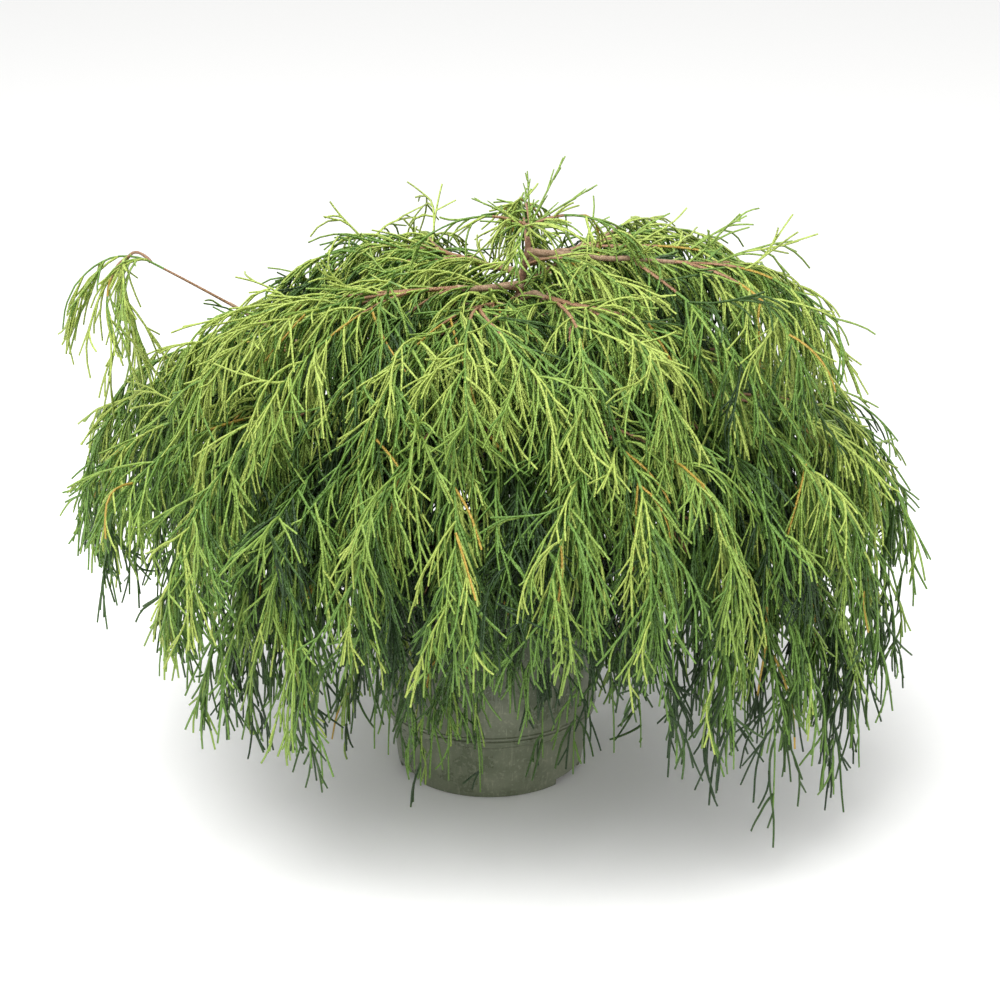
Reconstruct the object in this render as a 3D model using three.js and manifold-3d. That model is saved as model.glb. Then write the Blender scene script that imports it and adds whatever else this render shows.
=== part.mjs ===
// A potted threadleaf sawara cypress: a mop of weeping, thread-like sprays round a short leaning trunk,
// in a moulded nursery pot. Millimetres, +Z up. The origin is the centre of the pot's flat underside.
// Azimuth 0 points right along +X, 90 away from the viewer along +Y, and 270 towards the viewer.

import * as THREE from "three";
import { mergeVertices } from "three/addons/utils/BufferGeometryUtils.js";
import Module from "manifold-3d";

const wasm = await Module();
wasm.setup();

// Pot: a common two-gallon nursery size.
const POT_HEIGHT = 220;
const POT_FOOT_RADIUS = 92;
const POT_BAND_LOW = 59;
const POT_BAND_HIGH = 70;
const POT_BELOW_BAND_RADIUS = 100;
const POT_BAND_RADIUS = 105;
const POT_LIP_RADIUS = 118;
const POT_RIM_RADIUS = 123;
const POT_RIM_HEIGHT = 12;
const POT_WALL = 2;
const POT_FLOOR = 3;
const POT_SIDES = 32;
const NOTCHES = 3;
const NOTCH_SWEEP = 30;
const NOTCH_HEIGHT = 7;
const NOTCH_DEPTH = 12;
const FIRST_NOTCH = 330;

// Growing mix that fills the pot to just under its rim.
const MIX_TOP = 204;
const MIX_CROWNING = 5;
const MIX_SIDES = 20;
const CLEARANCE = 0.3;

// Trunk: foot at the mix, tip under the leader tuft.
const TRUNK_FOOT = new THREE.Vector3(-6, 4, MIX_TOP + MIX_CROWNING + CLEARANCE);
const TRUNK_TIP = new THREE.Vector3(38, 6, 540);
const TRUNK_BEND = 10;
const TRUNK_RADIUS = 9.5;
const TRUNK_TIP_RADIUS = 2.6;
const TRUNK_FLARE = 4.5;
const TRUNK_FLARE_HEIGHT = 22;
const TRUNK_SIDES = 8;
const TRUNK_STEPS = 10;
const TRUNK_FOOT_BELOW = 8;
const FIRST_BOUGH_UP = 16;
const LAST_BOUGH_DOWN = 14;

// Limbs: a bough from the trunk that goes on as the stem of its mass of foliage.
const LIMB_STATIONS = 22;
const BOUGH_ROOT_RADIUS = 4.6;
const BOUGH_THIN = 1.1;
const BOUGH_SIDES = 5;
const STEM_SIDES = 4;

// Foliage: a stem forks into three branches, and each carries a spray. A spray is a slim body with long
// pointed shoots to its left and right in turn. One shoot stands for a bunch of real threads.
const SIDE_FORKS = [
  { hand: -1, from: 0.05 },
  { hand: 1, from: 0.14 },
];
const SIDE_SAG = 12;
const SIDE_REACH = 0.98;
const BRANCH_STATIONS = 20;
const SIDE_WOOD = 2.2;
const SHOOT_PITCH = 15;
const SHOOT_ANGLE = 33;
const SHOOT_ARCH = 150;
const SHOOT_CURL = 9;
const STEM_BARE = 0.14;
const SIDE_BARE = 0.26;
const BODY_REACH = 32;
const BODY_ROOM = 0.42;
const BODY_THICK = 2.6;
const BODY_THIN = 1.2;
const END_LENGTH = 34;
const SHOOT_TRIES = [1, 0.8, 0.6, 0.4];
const SHOOT_PROBES = [0.35, 0.6, 0.8, 1];

// Leader tuft: azimuth, tilt from upright, length and dip of each bare shoot and of each small spray.
const TUFT_SHOOTS = [
  [12, 26, 74, 0.1],
  [352, 54, 76, 0.1],
  [100, 16, 52, 0.1],
  [186, 58, 62, 0.2],
];
const TUFT_SPRAYS = [
  [196, 62, 118, 1.3],
  [262, 64, 112, 1.5],
  [338, 58, 112, 1.4],
  [96, 60, 112, 1.4],
];
const TUFT_STEPS = 3;
const TUFT_SPRAY_STEPS = 12;
const TUFT_THICK = 1.5;
const TUFT_THIN = 0.6;
const TUFT_TWIG = 58;

// Room kept between foliage and the ground, the wood, and the foliage of the next mass.
const FLOOR_CLEAR = 4;
const WOOD_CLEAR = 3;
const SPACE_CLEAR = 6;
const KIN_CLEAR = 1;

const UP = new THREE.Vector3(0, 0, 1);
const radians = THREE.MathUtils.degToRad;
const mix = THREE.MathUtils.lerp;

// A point at a reach from the pot's axis, on an azimuth, at a height.
function polar(azimuth, reach, height) {
  const turn = radians(azimuth);
  return new THREE.Vector3(reach * Math.cos(turn), reach * Math.sin(turn), height);
}

// A seeded stream of numbers between 0 and 1, the same on every run.
function stream(seed) {
  let state = seed * 7919 + 104729;
  const next = () => {
    state = (state * 48271) % 2147483647;
    return state / 2147483647;
  };
  for (let i = 0; i < 4; i += 1) next();
  return next;
}

// A value spread evenly either side of a middle.
const around = (draw, middle, spread) => middle + (2 * draw() - 1) * spread;

// The same line as evenly spaced points.
function evenly(points, count) {
  const along = [0];
  for (let i = 1; i < points.length; i += 1) along.push(along[i - 1] + points[i].distanceTo(points[i - 1]));
  const total = along[along.length - 1];
  const spaced = [];
  let i = 1;
  for (let k = 0; k < count; k += 1) {
    const at = (total * k) / (count - 1);
    while (i < points.length - 1 && along[i] < at) i += 1;
    const share = (at - along[i - 1]) / (along[i] - along[i - 1]);
    spaced.push(points[i - 1].clone().lerp(points[i], share));
  }
  return spaced;
}

const lengthOf = (points) => points.slice(1).reduce((sum, p, i) => sum + p.distanceTo(points[i]), 0);

// The direction of a line at one of its points.
function heading(points, i) {
  const before = points[Math.max(0, i - 1)];
  const after = points[Math.min(points.length - 1, i + 1)];
  return after.clone().sub(before).normalize();
}

// A closed limb along a line: a cylinder, or a cone where it ends in a point, carried onto the line.
// size(share) gives the half width and half depth of its section. Its ends may be cut square to given
// headings, so that two limbs meet face to face.
function limbGeometry(points, sides, size, { pointed = false, first, last } = {}) {
  const steps = points.length - 1;
  const shape = new THREE.CylinderGeometry(pointed ? 0 : 1, 1, 1, sides, steps);
  const frames = [];
  let across = new THREE.Vector3(0.31, 0.87, 0.38);
  for (let i = 0; i <= steps; i += 1) {
    const along = (i === 0 && first) || (i === steps && last) || heading(points, i);
    across = across.clone().addScaledVector(along, -across.dot(along)).normalize();
    frames.push([across, across.clone().cross(along)]);
  }
  const position = shape.getAttribute("position");
  for (let i = 0; i < position.count; i += 1) {
    const share = THREE.MathUtils.clamp(position.getY(i) + 0.5, 0, 1);
    const station = Math.round(share * steps);
    const [right, over] = frames[station];
    const [width, depth] = size(station / steps);
    const taper = pointed && station === steps ? 0 : 1;
    const radial = Math.hypot(position.getX(i), position.getZ(i)) > 1e-6 ? 1 : 0;
    const turn = Math.atan2(position.getZ(i), position.getX(i));
    const p = points[station].clone();
    p.addScaledVector(right, radial * taper * width * Math.cos(turn));
    p.addScaledVector(over, radial * taper * depth * Math.sin(turn));
    position.setXYZ(i, p.x, p.y, p.z);
  }
  return shape;
}

// A closed geometry as a solid that can be cut and joined.
function solidOf(geometry) {
  const bare = new THREE.BufferGeometry();
  bare.setAttribute("position", geometry.getAttribute("position"));
  if (geometry.index) bare.setIndex(geometry.index);
  const merged = mergeVertices(bare, 1e-4);
  const corners = merged.index.array;
  const kept = [];
  for (let i = 0; i < corners.length; i += 3) {
    const [a, b, c] = [corners[i], corners[i + 1], corners[i + 2]];
    if (a !== b && b !== c && c !== a) kept.push(a, b, c);
  }
  return new wasm.Manifold(
    new wasm.Mesh({
      numProp: 3,
      vertProperties: new Float32Array(merged.getAttribute("position").array),
      triVerts: new Uint32Array(kept),
    }),
  );
}

// The largest body of a solid, without loose scraps and with sealed hollows filled.
function largestBody(solid) {
  return solid.decompose().reduce((best, body) => (body.volume() > best.volume() ? body : best));
}

function meshOf(name, solid, material) {
  const { vertProperties, triVerts } = solid.getMesh();
  const geometry = new THREE.BufferGeometry();
  geometry.setAttribute("position", new THREE.BufferAttribute(vertProperties, 3));
  geometry.setIndex(new THREE.BufferAttribute(triVerts, 1));
  geometry.computeVertexNormals();
  const mesh = new THREE.Mesh(geometry, material);
  mesh.name = name;
  return mesh;
}

// The pot's outer radius at a height.
function potRadius(height) {
  if (height < POT_BAND_LOW) return mix(POT_FOOT_RADIUS, POT_BELOW_BAND_RADIUS, height / POT_BAND_LOW);
  const share = (height - POT_BAND_LOW) / (POT_HEIGHT - POT_BAND_LOW);
  return mix(POT_BAND_RADIUS, POT_LIP_RADIUS, THREE.MathUtils.clamp(share, 0, 1));
}

// Pot: one turned wall and floor, with a stepped band, a rolled rim and a flat underside.
// Notches in the foot leave three long feet, and each notch opens a drain through the floor's edge.
function buildPot() {
  const bandTop = potRadius(POT_BAND_HIGH);
  const rimFoot = POT_HEIGHT - POT_RIM_HEIGHT;
  const profile = [
    [0, 0],
    [POT_FOOT_RADIUS - 2, 0],
    [POT_FOOT_RADIUS, 2],
    [POT_BELOW_BAND_RADIUS, POT_BAND_LOW],
    [POT_BAND_RADIUS, POT_BAND_LOW + 2],
    [bandTop + 0.6, POT_BAND_HIGH],
    [bandTop - 0.6, POT_BAND_HIGH + 2],
    [potRadius(rimFoot), rimFoot],
    [POT_RIM_RADIUS, rimFoot + 2],
    [POT_RIM_RADIUS, POT_HEIGHT - 1],
    [POT_RIM_RADIUS - 1.5, POT_HEIGHT],
    [POT_LIP_RADIUS - POT_WALL, POT_HEIGHT],
    [POT_BELOW_BAND_RADIUS - POT_WALL + 1, POT_BAND_LOW + 4],
    [POT_FOOT_RADIUS - POT_WALL, POT_FLOOR + 2],
    [POT_FOOT_RADIUS - POT_WALL - 2, POT_FLOOR],
    [0, POT_FLOOR],
  ].map(([radius, height]) => new THREE.Vector2(radius, height));
  const lathe = new THREE.LatheGeometry(profile, POT_SIDES);
  lathe.rotateX(Math.PI / 2);
  let pot = solidOf(lathe);
  for (let i = 0; i < NOTCHES; i += 1) {
    pot = pot.subtract(buildNotch(FIRST_NOTCH + (360 / NOTCHES) * i));
  }
  return largestBody(pot);
}

// The block that a notch takes out of the foot: a sector of a ring, from the underside up.
function buildNotch(azimuth) {
  const inner = POT_FOOT_RADIUS - NOTCH_DEPTH;
  const outer = POT_FOOT_RADIUS + NOTCH_DEPTH;
  const [from, to] = [radians(azimuth - NOTCH_SWEEP / 2), radians(azimuth + NOTCH_SWEEP / 2)];
  const sector = new THREE.Shape();
  sector.absarc(0, 0, outer, from, to, false);
  sector.absarc(0, 0, inner, to, from, true);
  sector.closePath();
  const block = new THREE.ExtrudeGeometry(sector, {
    depth: NOTCH_HEIGHT + 1,
    bevelEnabled: false,
    curveSegments: 4,
  });
  block.translate(0, 0, -1);
  return solidOf(block);
}

// Growing mix: it follows the pot's inner wall at a small clearance and crowns a little at the top.
function buildMix() {
  const gap = POT_WALL + CLEARANCE + 0.4;
  const inner = (height) => {
    const share = (height - POT_BAND_LOW - 4) / (POT_HEIGHT - POT_BAND_LOW - 4);
    return mix(POT_BELOW_BAND_RADIUS + 1, POT_LIP_RADIUS, share) - gap;
  };
  const foot = NOTCH_HEIGHT + CLEARANCE;
  const profile = [
    [0, POT_FLOOR + CLEARANCE],
    [POT_FOOT_RADIUS - NOTCH_DEPTH - 1, POT_FLOOR + CLEARANCE],
    [POT_FOOT_RADIUS - gap - 1, foot + 1],
    [POT_BELOW_BAND_RADIUS - gap, POT_BAND_LOW],
    [inner(MIX_TOP - 4), MIX_TOP - 4],
    [inner(MIX_TOP) - 5, MIX_TOP],
    [60, MIX_TOP + MIX_CROWNING],
    [0, MIX_TOP + MIX_CROWNING],
  ].map(([radius, height]) => new THREE.Vector2(radius, height));
  const lathe = new THREE.LatheGeometry(profile, MIX_SIDES);
  lathe.rotateX(Math.PI / 2);
  return solidOf(lathe);
}

// The trunk's axis: it leans right and bows a little on the way.
function trunkLine() {
  const bow = TRUNK_FOOT.clone().lerp(TRUNK_TIP, 0.45).add(new THREE.Vector3(-TRUNK_BEND, -TRUNK_BEND, 0));
  const curve = new THREE.QuadraticBezierCurve3(TRUNK_FOOT, bow, TRUNK_TIP);
  return evenly(curve.getPoints(40), TRUNK_STEPS + 1);
}

// The trunk's radius at a share of its length: a root flare, then an even taper to the tip.
function trunkRadius(share) {
  const height = share * (TRUNK_TIP.z - TRUNK_FOOT.z);
  const flare = TRUNK_FLARE * Math.exp(-height / TRUNK_FLARE_HEIGHT);
  return mix(TRUNK_RADIUS, TRUNK_TIP_RADIUS, share) + flare;
}

// The trunk, thicker by an extra where it only clears the ends of the boughs. Its foot is cut off level.
function buildTrunk(extra) {
  const line = trunkLine();
  line[0].addScaledVector(heading(line, 0), -TRUNK_FOOT_BELOW);
  const size = (share) => [trunkRadius(share) + extra, trunkRadius(share) + extra];
  const trunk = solidOf(limbGeometry(line, TRUNK_SIDES, size));
  const below = new THREE.BoxGeometry(8 * TRUNK_RADIUS, 8 * TRUNK_RADIUS, 4 * TRUNK_FOOT_BELOW);
  below.translate(TRUNK_FOOT.x, TRUNK_FOOT.y, TRUNK_FOOT.z - 2 * TRUNK_FOOT_BELOW);
  return largestBody(trunk.subtract(solidOf(below)));
}

// How near an azimuth is to a quarter of the plant, from 0 to 1.
function nearness(azimuth, quarter, width) {
  const off = ((azimuth - quarter + 540) % 360) - 180;
  return Math.exp(-((off / width) ** 2));
}

// A ring of like limbs, evenly turned about the trunk from the shape's own azimuth, with a seeded unevenness.
// Near some quarters of the plant they take another shape: [azimuth of the quarter, its width, the shape there].
function ring(count, shape, quarters) {
  const { name, azimuth: first } = shape;
  const draw = stream(first + count);
  return Array.from({ length: count }, (_, i) => {
    const azimuth = around(draw, first + (360 / count) * i, 4);
    const limb = { ...shape, name: name + "_" + (i + 1), azimuth, swing: around(draw, 0, 8) };
    for (const [quarter, width, other] of quarters) {
      const near = nearness(azimuth, quarter, width);
      for (const [key, value] of Object.entries(other)) limb[key] = mix(limb[key], value, near);
    }
    limb.crestReach = around(draw, limb.crestReach, 11);
    limb.crestHeight = around(draw, limb.crestHeight, 8);
    limb.tipReach = around(draw, limb.tipReach, 8);
    limb.tipHeight = around(draw, limb.tipHeight, 9);
    return limb;
  });
}

// One limb of its own shape: azimuth and swing in degrees, reach and height of its crest and of its tip,
// the share of it that is bare bough, its longest twig, how far its side branches spread in degrees, and how
// far it sags on its way up to the crest.
function single(name, [azimuth, swing], crest, tip, [bare, twig, spread], sag = 0) {
  return {
    name,
    azimuth,
    swing,
    crestReach: crest[0],
    crestHeight: crest[1],
    tipReach: tip[0],
    tipHeight: tip[1],
    bare,
    twig,
    spread,
    sag,
  };
}

const LIMBS = [
  ...ring(8, single("upper", [342, 0], [240, 414], [410, 272], [0.3, 122, 15]), [
    [272, 38, { crestReach: 180, tipReach: 325, tipHeight: 295 }],
    [188, 32, { crestHeight: 394, tipReach: 400, tipHeight: 328 }],
    [90, 50, { crestHeight: 446, tipHeight: 296 }],
    [8, 38, { crestReach: 206, crestHeight: 392, tipReach: 402 }],
  ]),
  ...ring(8, single("middle", [5, 0], [235, 322], [396, 150], [0.34, 118, 15]), [
    [272, 36, { crestReach: 150, tipReach: 245, tipHeight: 228 }],
    [188, 34, { tipReach: 334, tipHeight: 214 }],
    [352, 30, { tipReach: 402, tipHeight: 134 }],
  ]),
  single("top_front_left", [262, 4], [104, 500], [250, 420], [0.2, 104, 20]),
  single("top_front_right", [314, -6], [112, 500], [265, 420], [0.2, 104, 20]),
  single("top_left", [214, -6], [130, 506], [298, 428], [0.18, 108, 18]),
  single("top_right", [352, -4], [205, 524], [322, 448], [0.42, 94, 14]),
  single("top_back_right", [38, 3], [172, 514], [318, 446], [0.18, 108, 20]),
  single("top_back_left", [126, -6], [112, 508], [285, 416], [0.18, 108, 20]),
  single("far_left", [180, 3], [334, 526], [402, 458], [0.58, 104, 9], 70),
  single("low_left", [216, 2], [200, 256], [282, 118], [0.42, 88, 12]),
  single("pot_left", [236, -4], [138, 262], [178, 78], [0.42, 66, 14]),
  single("pot_front", [257, 0], [132, 268], [171, 58], [0.42, 62, 10]),
  single("pot_right", [306, 4], [140, 264], [184, 74], [0.42, 66, 14]),
  single("low_right", [334, -3], [240, 276], [368, 84], [0.4, 96, 15]),
];

// Limbs leave the trunk one above the other, in the order of their crests, and lower where they sag.
function rootHeights(limbs) {
  const low = TRUNK_FOOT.z + FIRST_BOUGH_UP;
  const high = TRUNK_TIP.z - LAST_BOUGH_DOWN;
  const rank = (limb) => limb.crestHeight - 2 * limb.sag;
  const order = [...limbs].sort((a, b) => rank(a) - rank(b));
  return new Map(order.map((limb, i) => [limb.name, mix(low, high, i / (order.length - 1))]));
}

// The trunk's axis at a height.
function trunkAt(height, line) {
  const i = Math.max(1, line.findIndex((p) => p.z >= height));
  const share = (height - line[i - 1].z) / (line[i].z - line[i - 1].z);
  return line[i - 1].clone().lerp(line[i], share);
}

// A limb's line: up and out to its crest, then over and down to its tip.
function limbLine(limb, root) {
  const out = polar(limb.azimuth, 1, 0);
  const crest = polar(limb.azimuth, limb.crestReach, limb.crestHeight);
  const tip = polar(limb.azimuth + limb.swing, limb.tipReach, limb.tipHeight);
  const climb = limb.crestHeight - root.z;
  const fall = limb.crestHeight - limb.tipHeight;
  const spread = limb.tipReach - limb.crestReach;
  const rise = new THREE.CubicBezierCurve3(
    root,
    root.clone().addScaledVector(out, 0.3 * limb.crestReach).addScaledVector(UP, 0.45 * climb - limb.sag),
    crest.clone().addScaledVector(out, -0.4 * limb.crestReach).addScaledVector(UP, -limb.sag),
    crest,
  );
  const weep = new THREE.CubicBezierCurve3(
    crest,
    crest.clone().addScaledVector(out, 0.6 * spread),
    tip.clone().addScaledVector(UP, 0.55 * fall),
    tip,
  );
  return evenly([...rise.getPoints(40), ...weep.getPoints(40).slice(1)], LIMB_STATIONS);
}

// The side branches of a limb: each leaves the stem early, then runs beside it, a little lower and shorter.
function sideBranches(limb) {
  return SIDE_FORKS.map(({ hand, from }) => {
    const main = evenly(limb.stem, 41).slice(Math.round(from * 40));
    const turned = main.map((p, i) => {
      const share = i / (main.length - 1);
      const turn = hand * radians(limb.spread) * (1 - (1 - share) ** 2.2);
      const reach = mix(1, SIDE_REACH, share);
      return p
        .clone()
        .applyAxisAngle(UP, turn)
        .multiply(new THREE.Vector3(reach, reach, 1))
        .addScaledVector(UP, -SIDE_SAG * share);
    });
    return evenly(turned, BRANCH_STATIONS);
  });
}

// The distance from a point to a line of points.
function distanceToLine(point, line) {
  let least = Infinity;
  for (let i = 1; i < line.length; i += 1) {
    const [a, b] = [line[i - 1], line[i]];
    const [dx, dy, dz] = [b.x - a.x, b.y - a.y, b.z - a.z];
    const along = (point.x - a.x) * dx + (point.y - a.y) * dy + (point.z - a.z) * dz;
    const share = THREE.MathUtils.clamp(along / (dx * dx + dy * dy + dz * dz), 0, 1);
    const ex = a.x + share * dx - point.x;
    const ey = a.y + share * dy - point.y;
    const ez = a.z + share * dz - point.z;
    least = Math.min(least, ex * ex + ey * ey + ez * ez);
  }
  return Math.sqrt(least);
}

const distanceToLines = (point, lines) => Math.min(...lines.map((line) => distanceToLine(point, line)));

// How long a shoot may be at a share of its branch: longest near the middle.
const shootLength = (share) => 0.55 + 0.45 * Math.sin(Math.PI * Math.min(1, 0.16 + 0.84 * share));

// How wide a spray's body is at a share of its leafy length: it swells from the wood and narrows again.
const bodyShare = (share) => Math.min(1, 0.5 + 3 * share, 0.3 + 2.4 * (1 - share));

const trunk = trunkLine();
const roots = rootHeights(LIMBS);
for (const limb of LIMBS) {
  limb.line = limbLine(limb, trunkAt(roots.get(limb.name), trunk));
  limb.split = Math.round(limb.bare * (LIMB_STATIONS - 1));
  limb.bough = limb.line.slice(0, limb.split + 1);
  const stem = limb.line.slice(limb.split);
  stem[0] = stem[0].clone().addScaledVector(heading(limb.line, limb.split), CLEARANCE);
  limb.stem = evenly(stem, BRANCH_STATIONS);
  limb.sides = sideBranches(limb);
  limb.size = (share) => mix(BOUGH_ROOT_RADIUS, BOUGH_THIN, Math.min(1, share * 1.25) ** 0.8);
}

// Whether a point on a branch's foliage keeps to that branch's own space, clear of the other branches of
// its mass, of other masses, and of the wood, the pot and the ground.
function inSpace(point, branch, limb) {
  if (point.z < FLOOR_CLEAR) return false;
  const reach = Math.hypot(point.x, point.y);
  const potReach = point.z > MIX_TOP - 12 ? POT_RIM_RADIUS : potRadius(point.z);
  if (point.z < POT_HEIGHT + 6 && reach < potReach + 6) return false;
  if (distanceToLine(point, trunk) < TRUNK_RADIUS + WOOD_CLEAR) return false;
  const own = distanceToLine(point, branch);
  const kin = [limb.stem, ...limb.sides].filter((line) => line !== branch);
  if (distanceToLines(point, kin) < own + KIN_CLEAR) return false;
  if (limb.bough !== trunk && distanceToLine(point, limb.bough) < Math.min(own, 7)) return false;
  return LIMBS.every((other) => {
    if (other === limb) return true;
    return distanceToLines(point, [other.line, ...other.sides]) > own + SPACE_CLEAR;
  });
}

// A branch as a surface: a point some way along it, some way to its side, and lifted off it.
// Past its end the surface goes on and bends down. Its first section is square to a given heading.
function sprayFrame(branch, first) {
  const total = lengthOf(branch);
  const chord = branch[branch.length - 1].clone().sub(branch[0]);
  const across = chord.cross(UP).normalize();
  return (along, side, lift) => {
    const past = Math.max(0, along - total);
    const place = (Math.min(along, total) / total) * (branch.length - 1);
    const i = Math.min(branch.length - 2, Math.floor(place));
    const course = place < 0.5 && first ? first : heading(branch, Math.round(place));
    const right = across.clone().addScaledVector(course, -across.dot(course)).normalize();
    const over = right.clone().cross(course);
    return branch[i]
      .clone()
      .lerp(branch[i + 1], place - i)
      .addScaledVector(course, past * 0.8)
      .addScaledVector(UP, -past * 0.35)
      .addScaledVector(right, side)
      .addScaledVector(over, lift - (side * side) / SHOOT_ARCH);
  };
}

// Whether a row of a spray runs out into a shoot on this hand.
const isShootRow = (row, hand) => (row + (hand > 0 ? 1 : 0)) % 2 === 0;

// Splits the faces of a four-sided cone so that each shoot is a spike between the body's edge before it and
// the edge after it, above and below alike. The two skins of a spray then stay apart, however it bends.
function matchFaces(shape, rows) {
  const foot = Array.from(shape.index.array).slice(12 * (2 * rows - 1));
  const faces = [];
  for (let x = 0; x < 4; x += 1) {
    for (let y = 0; y < rows; y += 1) {
      const [a, d] = [y * 5 + x, y * 5 + x + 1];
      const [b, c] = [a + 5, d + 5];
      const rising = (x % 2 === 0) === isShootRow(rows - y, x < 2 ? 1 : -1);
      faces.push(...(rising ? [a, b, c, a, c, d] : [a, b, d, b, c, d]));
    }
  }
  shape.setIndex([...faces, ...foot]);
}

// A spray on its branch: bare wood first, then a slim body whose left and right edges run out into shoots
// in turn, all leaning the same way.
function sprayGeometry(branch, { bare, root, first }, limb, draw) {
  const total = lengthOf(branch);
  const rows = Math.max(6, Math.round(total / SHOOT_PITCH));
  const at = sprayFrame(branch, first);
  const rivals = LIMBS.filter((other) => other !== limb).flatMap((other) => [other.line, ...other.sides]);
  const lean = radians(SHOOT_ANGLE);
  const shoot = (start, length, hand, lift) =>
    at(start + length * Math.cos(lean), hand * length * Math.sin(lean), lift);
  const edgePoint = (row, hand) => {
    const start = (total * row) / rows;
    const share = row / rows;
    const full = limb.twig * shootLength(share) * around(draw, 0.92, 0.16);
    const curl = around(draw, 0, SHOOT_CURL);
    if (share <= bare) return at(start, hand * mix(root, SIDE_WOOD, share / bare), 0);
    const room = distanceToLines(at(start, 0, 0), rivals);
    const body = Math.min(BODY_REACH * bodyShare((share - bare) / (1 - bare)), BODY_ROOM * room);
    if (!isShootRow(row, hand) || row > rows - 3) return shoot(start, body, hand, 0);
    const fits = (length) => {
      const tip = shoot(start, length, hand, curl);
      return SHOOT_PROBES.every((part) => inSpace(at(start, 0, 0).lerp(tip, part), branch, limb));
    };
    const length = SHOOT_TRIES.map((part) => part * full).find(fits);
    return length ? shoot(start, length, hand, curl) : shoot(start, body, hand, 0);
  };
  const edges = [-1, 1].map((hand) => Array.from({ length: rows }, (_, row) => edgePoint(row, hand)));
  const end = [END_LENGTH, END_LENGTH / 2, 6].map((past) => at(total + past, 0, 0));
  const tip = end.find((point) => inSpace(point, branch, limb)) ?? end[2];
  const shape = new THREE.CylinderGeometry(0, 1, 1, 4, rows);
  matchFaces(shape, rows);
  const position = shape.getAttribute("position");
  for (let i = 0; i < position.count; i += 1) {
    const row = Math.round((position.getY(i) + 0.5) * rows);
    const hand = Math.sign(Math.round(position.getX(i) * rows * 2));
    const over = Math.sign(Math.round(position.getZ(i) * rows * 2));
    const share = row / rows;
    const thick = share <= bare ? mix(root, BODY_THICK, share / bare) : mix(BODY_THICK, BODY_THIN, share);
    const spine = () => at(total * share, 0, over * thick);
    const p = row === rows ? tip : (hand < 0 && edges[0][row]) || (hand > 0 && edges[1][row]) || spine();
    position.setXYZ(i, p.x, p.y, p.z);
  }
  return shape;
}

// One mass: a spray along its stem and one along each of its side branches, fused.
function buildMass(limb, seed) {
  const draw = stream(seed);
  const stemRoot = { bare: STEM_BARE, root: limb.size(limb.bare), first: heading(limb.line, limb.split) };
  const sideRoot = { bare: SIDE_BARE, root: SIDE_WOOD };
  const sprays = [
    sprayGeometry(limb.stem, stemRoot, limb, draw),
    ...limb.sides.map((side) => sprayGeometry(side, sideRoot, limb, draw)),
  ];
  return largestBody(wasm.Manifold.union(sprays.map(solidOf)));
}

// A shoot of the leader tuft: it sets off in a direction and leans over with its length.
function tuftShoot(foot, [azimuth, tilt, length, dip], steps) {
  const lean = radians(tilt);
  const course = polar(azimuth, Math.sin(lean), Math.cos(lean));
  const line = [foot.clone()];
  for (let i = 0; i < steps; i += 1) {
    line.push(line[i].clone().addScaledVector(course, length / steps));
    course.addScaledVector(UP, -dip / steps).normalize();
  }
  return line;
}

// The leader tuft: bare shoots that rise from the trunk's tip, each with a side thread, over small sprays
// that arch out on all sides.
function buildTuft() {
  const rise = heading(trunk, trunk.length - 1);
  const draw = stream(TUFT_TWIG);
  const stem = [CLEARANCE, 10, 20].map((length) => TRUNK_TIP.clone().addScaledVector(rise, length));
  const wood = (share) => Array(2).fill(mix(TRUNK_TIP_RADIUS, TUFT_THICK, share));
  const pieces = [limbGeometry(stem, STEM_SIDES, wood)];
  const slim = (share) => Array(2).fill(mix(TUFT_THICK, TUFT_THIN, share));
  TUFT_SHOOTS.forEach(([azimuth, tilt, length, dip], i) => {
    const line = tuftShoot(stem[1], [azimuth, tilt, length, dip], TUFT_STEPS);
    const side = tuftShoot(line[1], [azimuth + (i % 2 ? 50 : -50), tilt + 8, length * 0.4, dip], 1);
    pieces.push(limbGeometry(line, 3, slim, { pointed: true }));
    pieces.push(limbGeometry(side, 3, slim, { pointed: true }));
  });
  const lines = TUFT_SPRAYS.map((shape) => tuftShoot(stem[1], shape, TUFT_SPRAY_STEPS));
  const tuft = { stem: lines[0], sides: lines.slice(1), bough: trunk, line: trunk, twig: TUFT_TWIG };
  lines.forEach((line) => {
    pieces.push(sprayGeometry(line, { bare: STEM_BARE, root: SIDE_WOOD }, tuft, draw));
  });
  return largestBody(wasm.Manifold.union(pieces.map(solidOf)));
}

// A bough: the bare first part of a limb, cut to the trunk's skin at its root.
function buildBough(limb, fatTrunk) {
  const stations = evenly(limb.bough, Math.max(4, Math.round(lengthOf(limb.bough) / 45)));
  const size = (share) => Array(2).fill(limb.size((share * limb.split) / (LIMB_STATIONS - 1)));
  const bough = limbGeometry(stations, BOUGH_SIDES, size, { last: heading(limb.line, limb.split) });
  return largestBody(solidOf(bough).subtract(fatTrunk));
}

const potPlastic = new THREE.MeshStandardMaterial({ color: "#4b5245", roughness: 0.45 });
const pottingMix = new THREE.MeshStandardMaterial({ color: "#3a2a1e", roughness: 0.95 });
const bark = new THREE.MeshStandardMaterial({ color: "#7a5a45", roughness: 0.85 });
const youngFoliage = new THREE.MeshStandardMaterial({ color: "#93b045", roughness: 0.6 });
const oldFoliage = new THREE.MeshStandardMaterial({ color: "#5f8238", roughness: 0.6 });

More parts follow.
